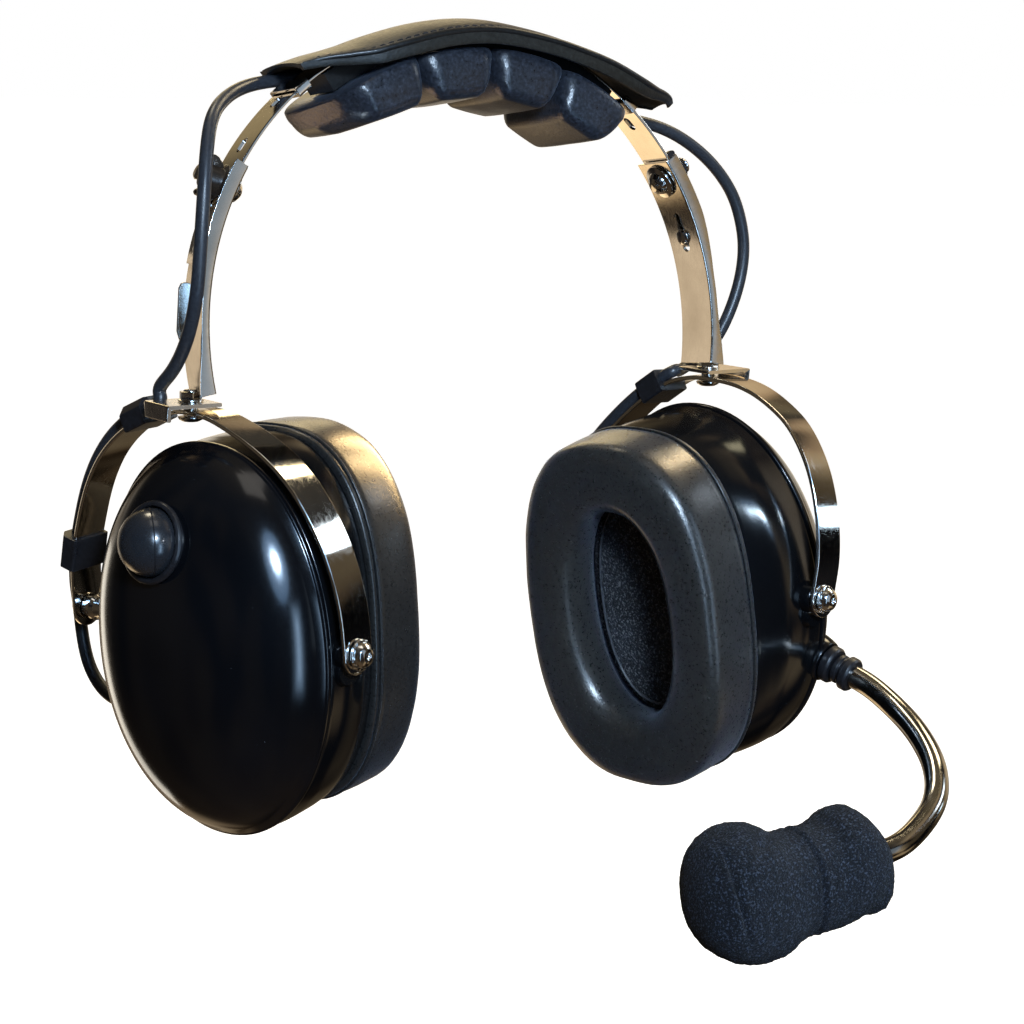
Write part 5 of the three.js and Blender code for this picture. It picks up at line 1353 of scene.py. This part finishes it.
far = wmix("MULTIPLY", wmix("MULTIPLY", far_col, far_mask), wnoise(2.6, 1.0, [(0.42, (0.30, 0.26, 0.22)), (0.56, (1.1, 1.1, 1.1))], (1, 1, 1.6)))
near_col = wramp(sep.outputs[2], [(-1.0, (0.09, 0.06, 0.035)), (-0.7, (0.04, 0.028, 0.018)), (-0.3, (0.008, 0.008, 0.009)), (0.3, (0.008, 0.009, 0.012)), (0.8, (0.05, 0.045, 0.036)), (1.0, (0.20, 0.16, 0.10))], -1, 1)
bands = wnoise(3.4, 0.5, [(0.46, (0.0, 0.0, 0.0)), (0.50, (0.30, 0.20, 0.11)), (0.62, (0.62, 0.47, 0.27))], (1, 1, 0.7))
side_mask = wramp(sep.outputs[0], [(-1.0, (0.10, 0.10, 0.10)), (-0.5, (0.02, 0.02, 0.02)), (0.45, (0.03, 0.03, 0.03)), (0.62, (1, 1, 1))], -1, 1)
room = wmix("ADD", wmix("ADD", far, near_col), wmix("MULTIPLY", bands, side_mask))


def wdark(direction, inner, outer, level):
    """darkens the room inside a cone round a direction"""
    n = wn.nodes.new("ShaderNodeVectorMath")
    n.operation = "DOT_PRODUCT"
    n.inputs[1].default_value = Vector(direction).normalized()
    wn.links.new(tc.outputs["Generated"], n.inputs[0])
    lo_, hi_ = math.cos(outer * D), math.cos(inner * D)
    return wramp(n.outputs["Value"], [(-1.0, (1, 1, 1)), (lo_, (1, 1, 1)), (hi_, (level,) * 3), (1.0, (level,) * 3)], -1, 1)


room = wmix("MULTIPLY", wmix("MULTIPLY", room, wdark((0.70, 0.33, -0.63), 27, 40, 0.10)), wdark((0.86, -0.46, 0.15), 16, 28, 0.15))
lp = wn.nodes.new("ShaderNodeLightPath")
final = wmix("MIX", room, (1.0, 1.0, 1.0), lp.outputs["Is Camera Ray"])
wn.links.new(final, bg.inputs["Color"])
bg.inputs["Strength"].default_value = 1.0

KEY = (-0.23, -0.87, 0.43)
area("key", KEY, 1.15, (0.17, 0.17), 170, (0.70, 0.85, 1.0), "DISK", (-0.09, -0.04, 0.0))
area("key_halo_a", KEY, 1.17, (0.32, 0.36), 12.0, (0.36, 0.62, 1.0), "ELLIPSE", (-0.09, -0.04, 0.0))
area("key_halo_b", KEY, 1.19, (0.58, 0.76), 4.4, (0.34, 0.60, 1.0), "ELLIPSE", (-0.09, -0.04, -0.03))
def lit(light, names, keep=True):
    """the light falls only on these pieces, or with keep off, on all but these"""
    c = bpy.data.collections.new(light.name + "_link")
    for nm_ in names:
        c.objects.link(bpy.data.objects[nm_])
    light.light_linking.receiver_collection = c
    if not keep:
        for co in c.collection_objects:
            co.light_linking.link_state = "EXCLUDE"


SHELLS = ["base_tub_left", "base_tub_right", "dome_right"]
METAL = ["stirrup_arm_left", "stirrup_arm_right", "yoke_strap_left", "yoke_strap_right", "band_spring", "strip_clip_left", "strip_clip_right"]
lit(area("low_card_a", (-0.04, -0.97, -0.18), 1.28, (0.10, 0.50), 5.0, (0.50, 0.72, 1.0)), ["base_tub_right", "seal_cushion_right"], False)
lit(area("low_card_b", (-0.04, -0.97, -0.18), 1.30, (0.24, 0.70), 3.4, (0.44, 0.68, 1.0)), ["base_tub_right", "seal_cushion_right"], False)
lit(area("low_card_c", (-0.04, -0.97, -0.18), 1.32, (0.42, 0.85), 0.8, (0.40, 0.66, 1.0)), ["base_tub_right", "seal_cushion_right"], False)
lit(area("window", (0.44, -0.88, 0.10), 1.35, (0.45, 0.80), 0.42, (0.62, 0.80, 1.0)), SHELLS, False)
lit(area("shell_spot", (0.45, -0.84, 0.31), 1.2, (0.12, 0.12), 90, (0.66, 0.84, 1.0), "DISK", (0.09, -0.03, 0.0)), ["base_tub_right", "dome_right"])
lit(area("shell_halo", (0.45, -0.84, 0.29), 1.22, (0.20, 0.40), 3.4, (0.36, 0.62, 1.0), "ELLIPSE", (0.09, -0.03, 0.0)), ["base_tub_right", "dome_right"])
lit(area("shell_tan", (0.67, 0.06, 0.74), 1.2, (0.14, 0.18), 3.6, (1.0, 0.90, 0.58), "RECTANGLE", (0.09, -0.03, 0.0)), ["base_tub_right"])
lit(area("seal_line", (-0.27, -0.92, -0.05), 1.3, (0.15, 1.50), 8.0, (0.50, 0.72, 1.0), "RECTANGLE", (0.07, -0.05, 0.0)), ["seal_cushion_right"])
lit(area("lip_line", (0.44, -0.88, -0.02), 1.3, (0.14, 1.20), 8.0, (0.50, 0.72, 1.0), "RECTANGLE", (0.07, -0.05, 0.0)), ["seal_cushion_right"])
lit(area("warm_side", (0.66, 0.16, 0.72), 1.2, (0.40, 0.34), 9.0, (1.0, 0.82, 0.52)), SHELLS, False)
lit(area("seal_tan_r", (0.60, 0.10, 0.79), 1.3, (0.22, 0.34), 22.0, (1.0, 0.74, 0.42), "RECTANGLE", (0.07, -0.05, 0.03)), ["seal_cushion_right"])
lit(area("warm_seal", (0.80, 0.25, 0.50), 1.3, (0.72, 0.72), 36.0, (1.0, 0.68, 0.32), "RECTANGLE", (-0.05, -0.04, 0.0)), ["seal_cushion_left"])
lit(area("card_b", (0.85, -0.30, 0.44), 1.2, (0.30, 0.22), 6.0, (0.78, 0.89, 1.0)), SHELLS, False)
lit(area("spot_c", (0.95, -0.30, 0.07), 1.2, (0.12, 0.12), 6, (0.62, 0.82, 1.0), "DISK"), SHELLS, False)
lit(area("gold_back", (0.33, 0.82, 0.43), 1.5, (0.62, 0.36), 3.2, (1.0, 0.79, 0.42)), SHELLS, False)
lit(area("tan_card", (-0.60, 0.79, -0.08), 1.4, (0.75, 0.85), 0.75, (1.0, 0.80, 0.56)), METAL)
lit(area("floor_tan", (-0.10, 0.78, -0.60), 1.4, (0.80, 0.40), 1.3, (1.0, 0.72, 0.40)), ["dome_left", "base_tub_left", "base_tub_right"], False)
lit(area("dome_rim", (-0.17, 0.90, -0.36), 1.4, (0.30, 0.95), 2.2, (1.0, 0.93, 0.80)), ["dome_left"])
lit(area("ball_spot", (0.14, -0.96, 0.23), 1.2, (0.06, 0.06), 70, (0.85, 0.92, 1.0), "DISK"), ["button_cap"])
lit(area("pad_tan", (-0.57, 0.48, -0.66), 1.35, (0.80, 0.80), 3.6, (1.0, 0.66, 0.40)), ["crown_cushion"])
area("top_warm", (0.02, 0.42, 0.92), 1.3, (0.26, 0.34), 12.0, (1.0, 0.88, 0.64))
area("top_soft", (-0.1, -0.25, 1.0), 1.3, (0.5, 0.5), 1.2, (1.0, 0.95, 0.88))

sc = bpy.context.scene
sc.view_settings.view_transform = "Standard"
sc.view_settings.look = "None"
sc.view_settings.exposure = 0.0
sc.view_settings.gamma = 1.0
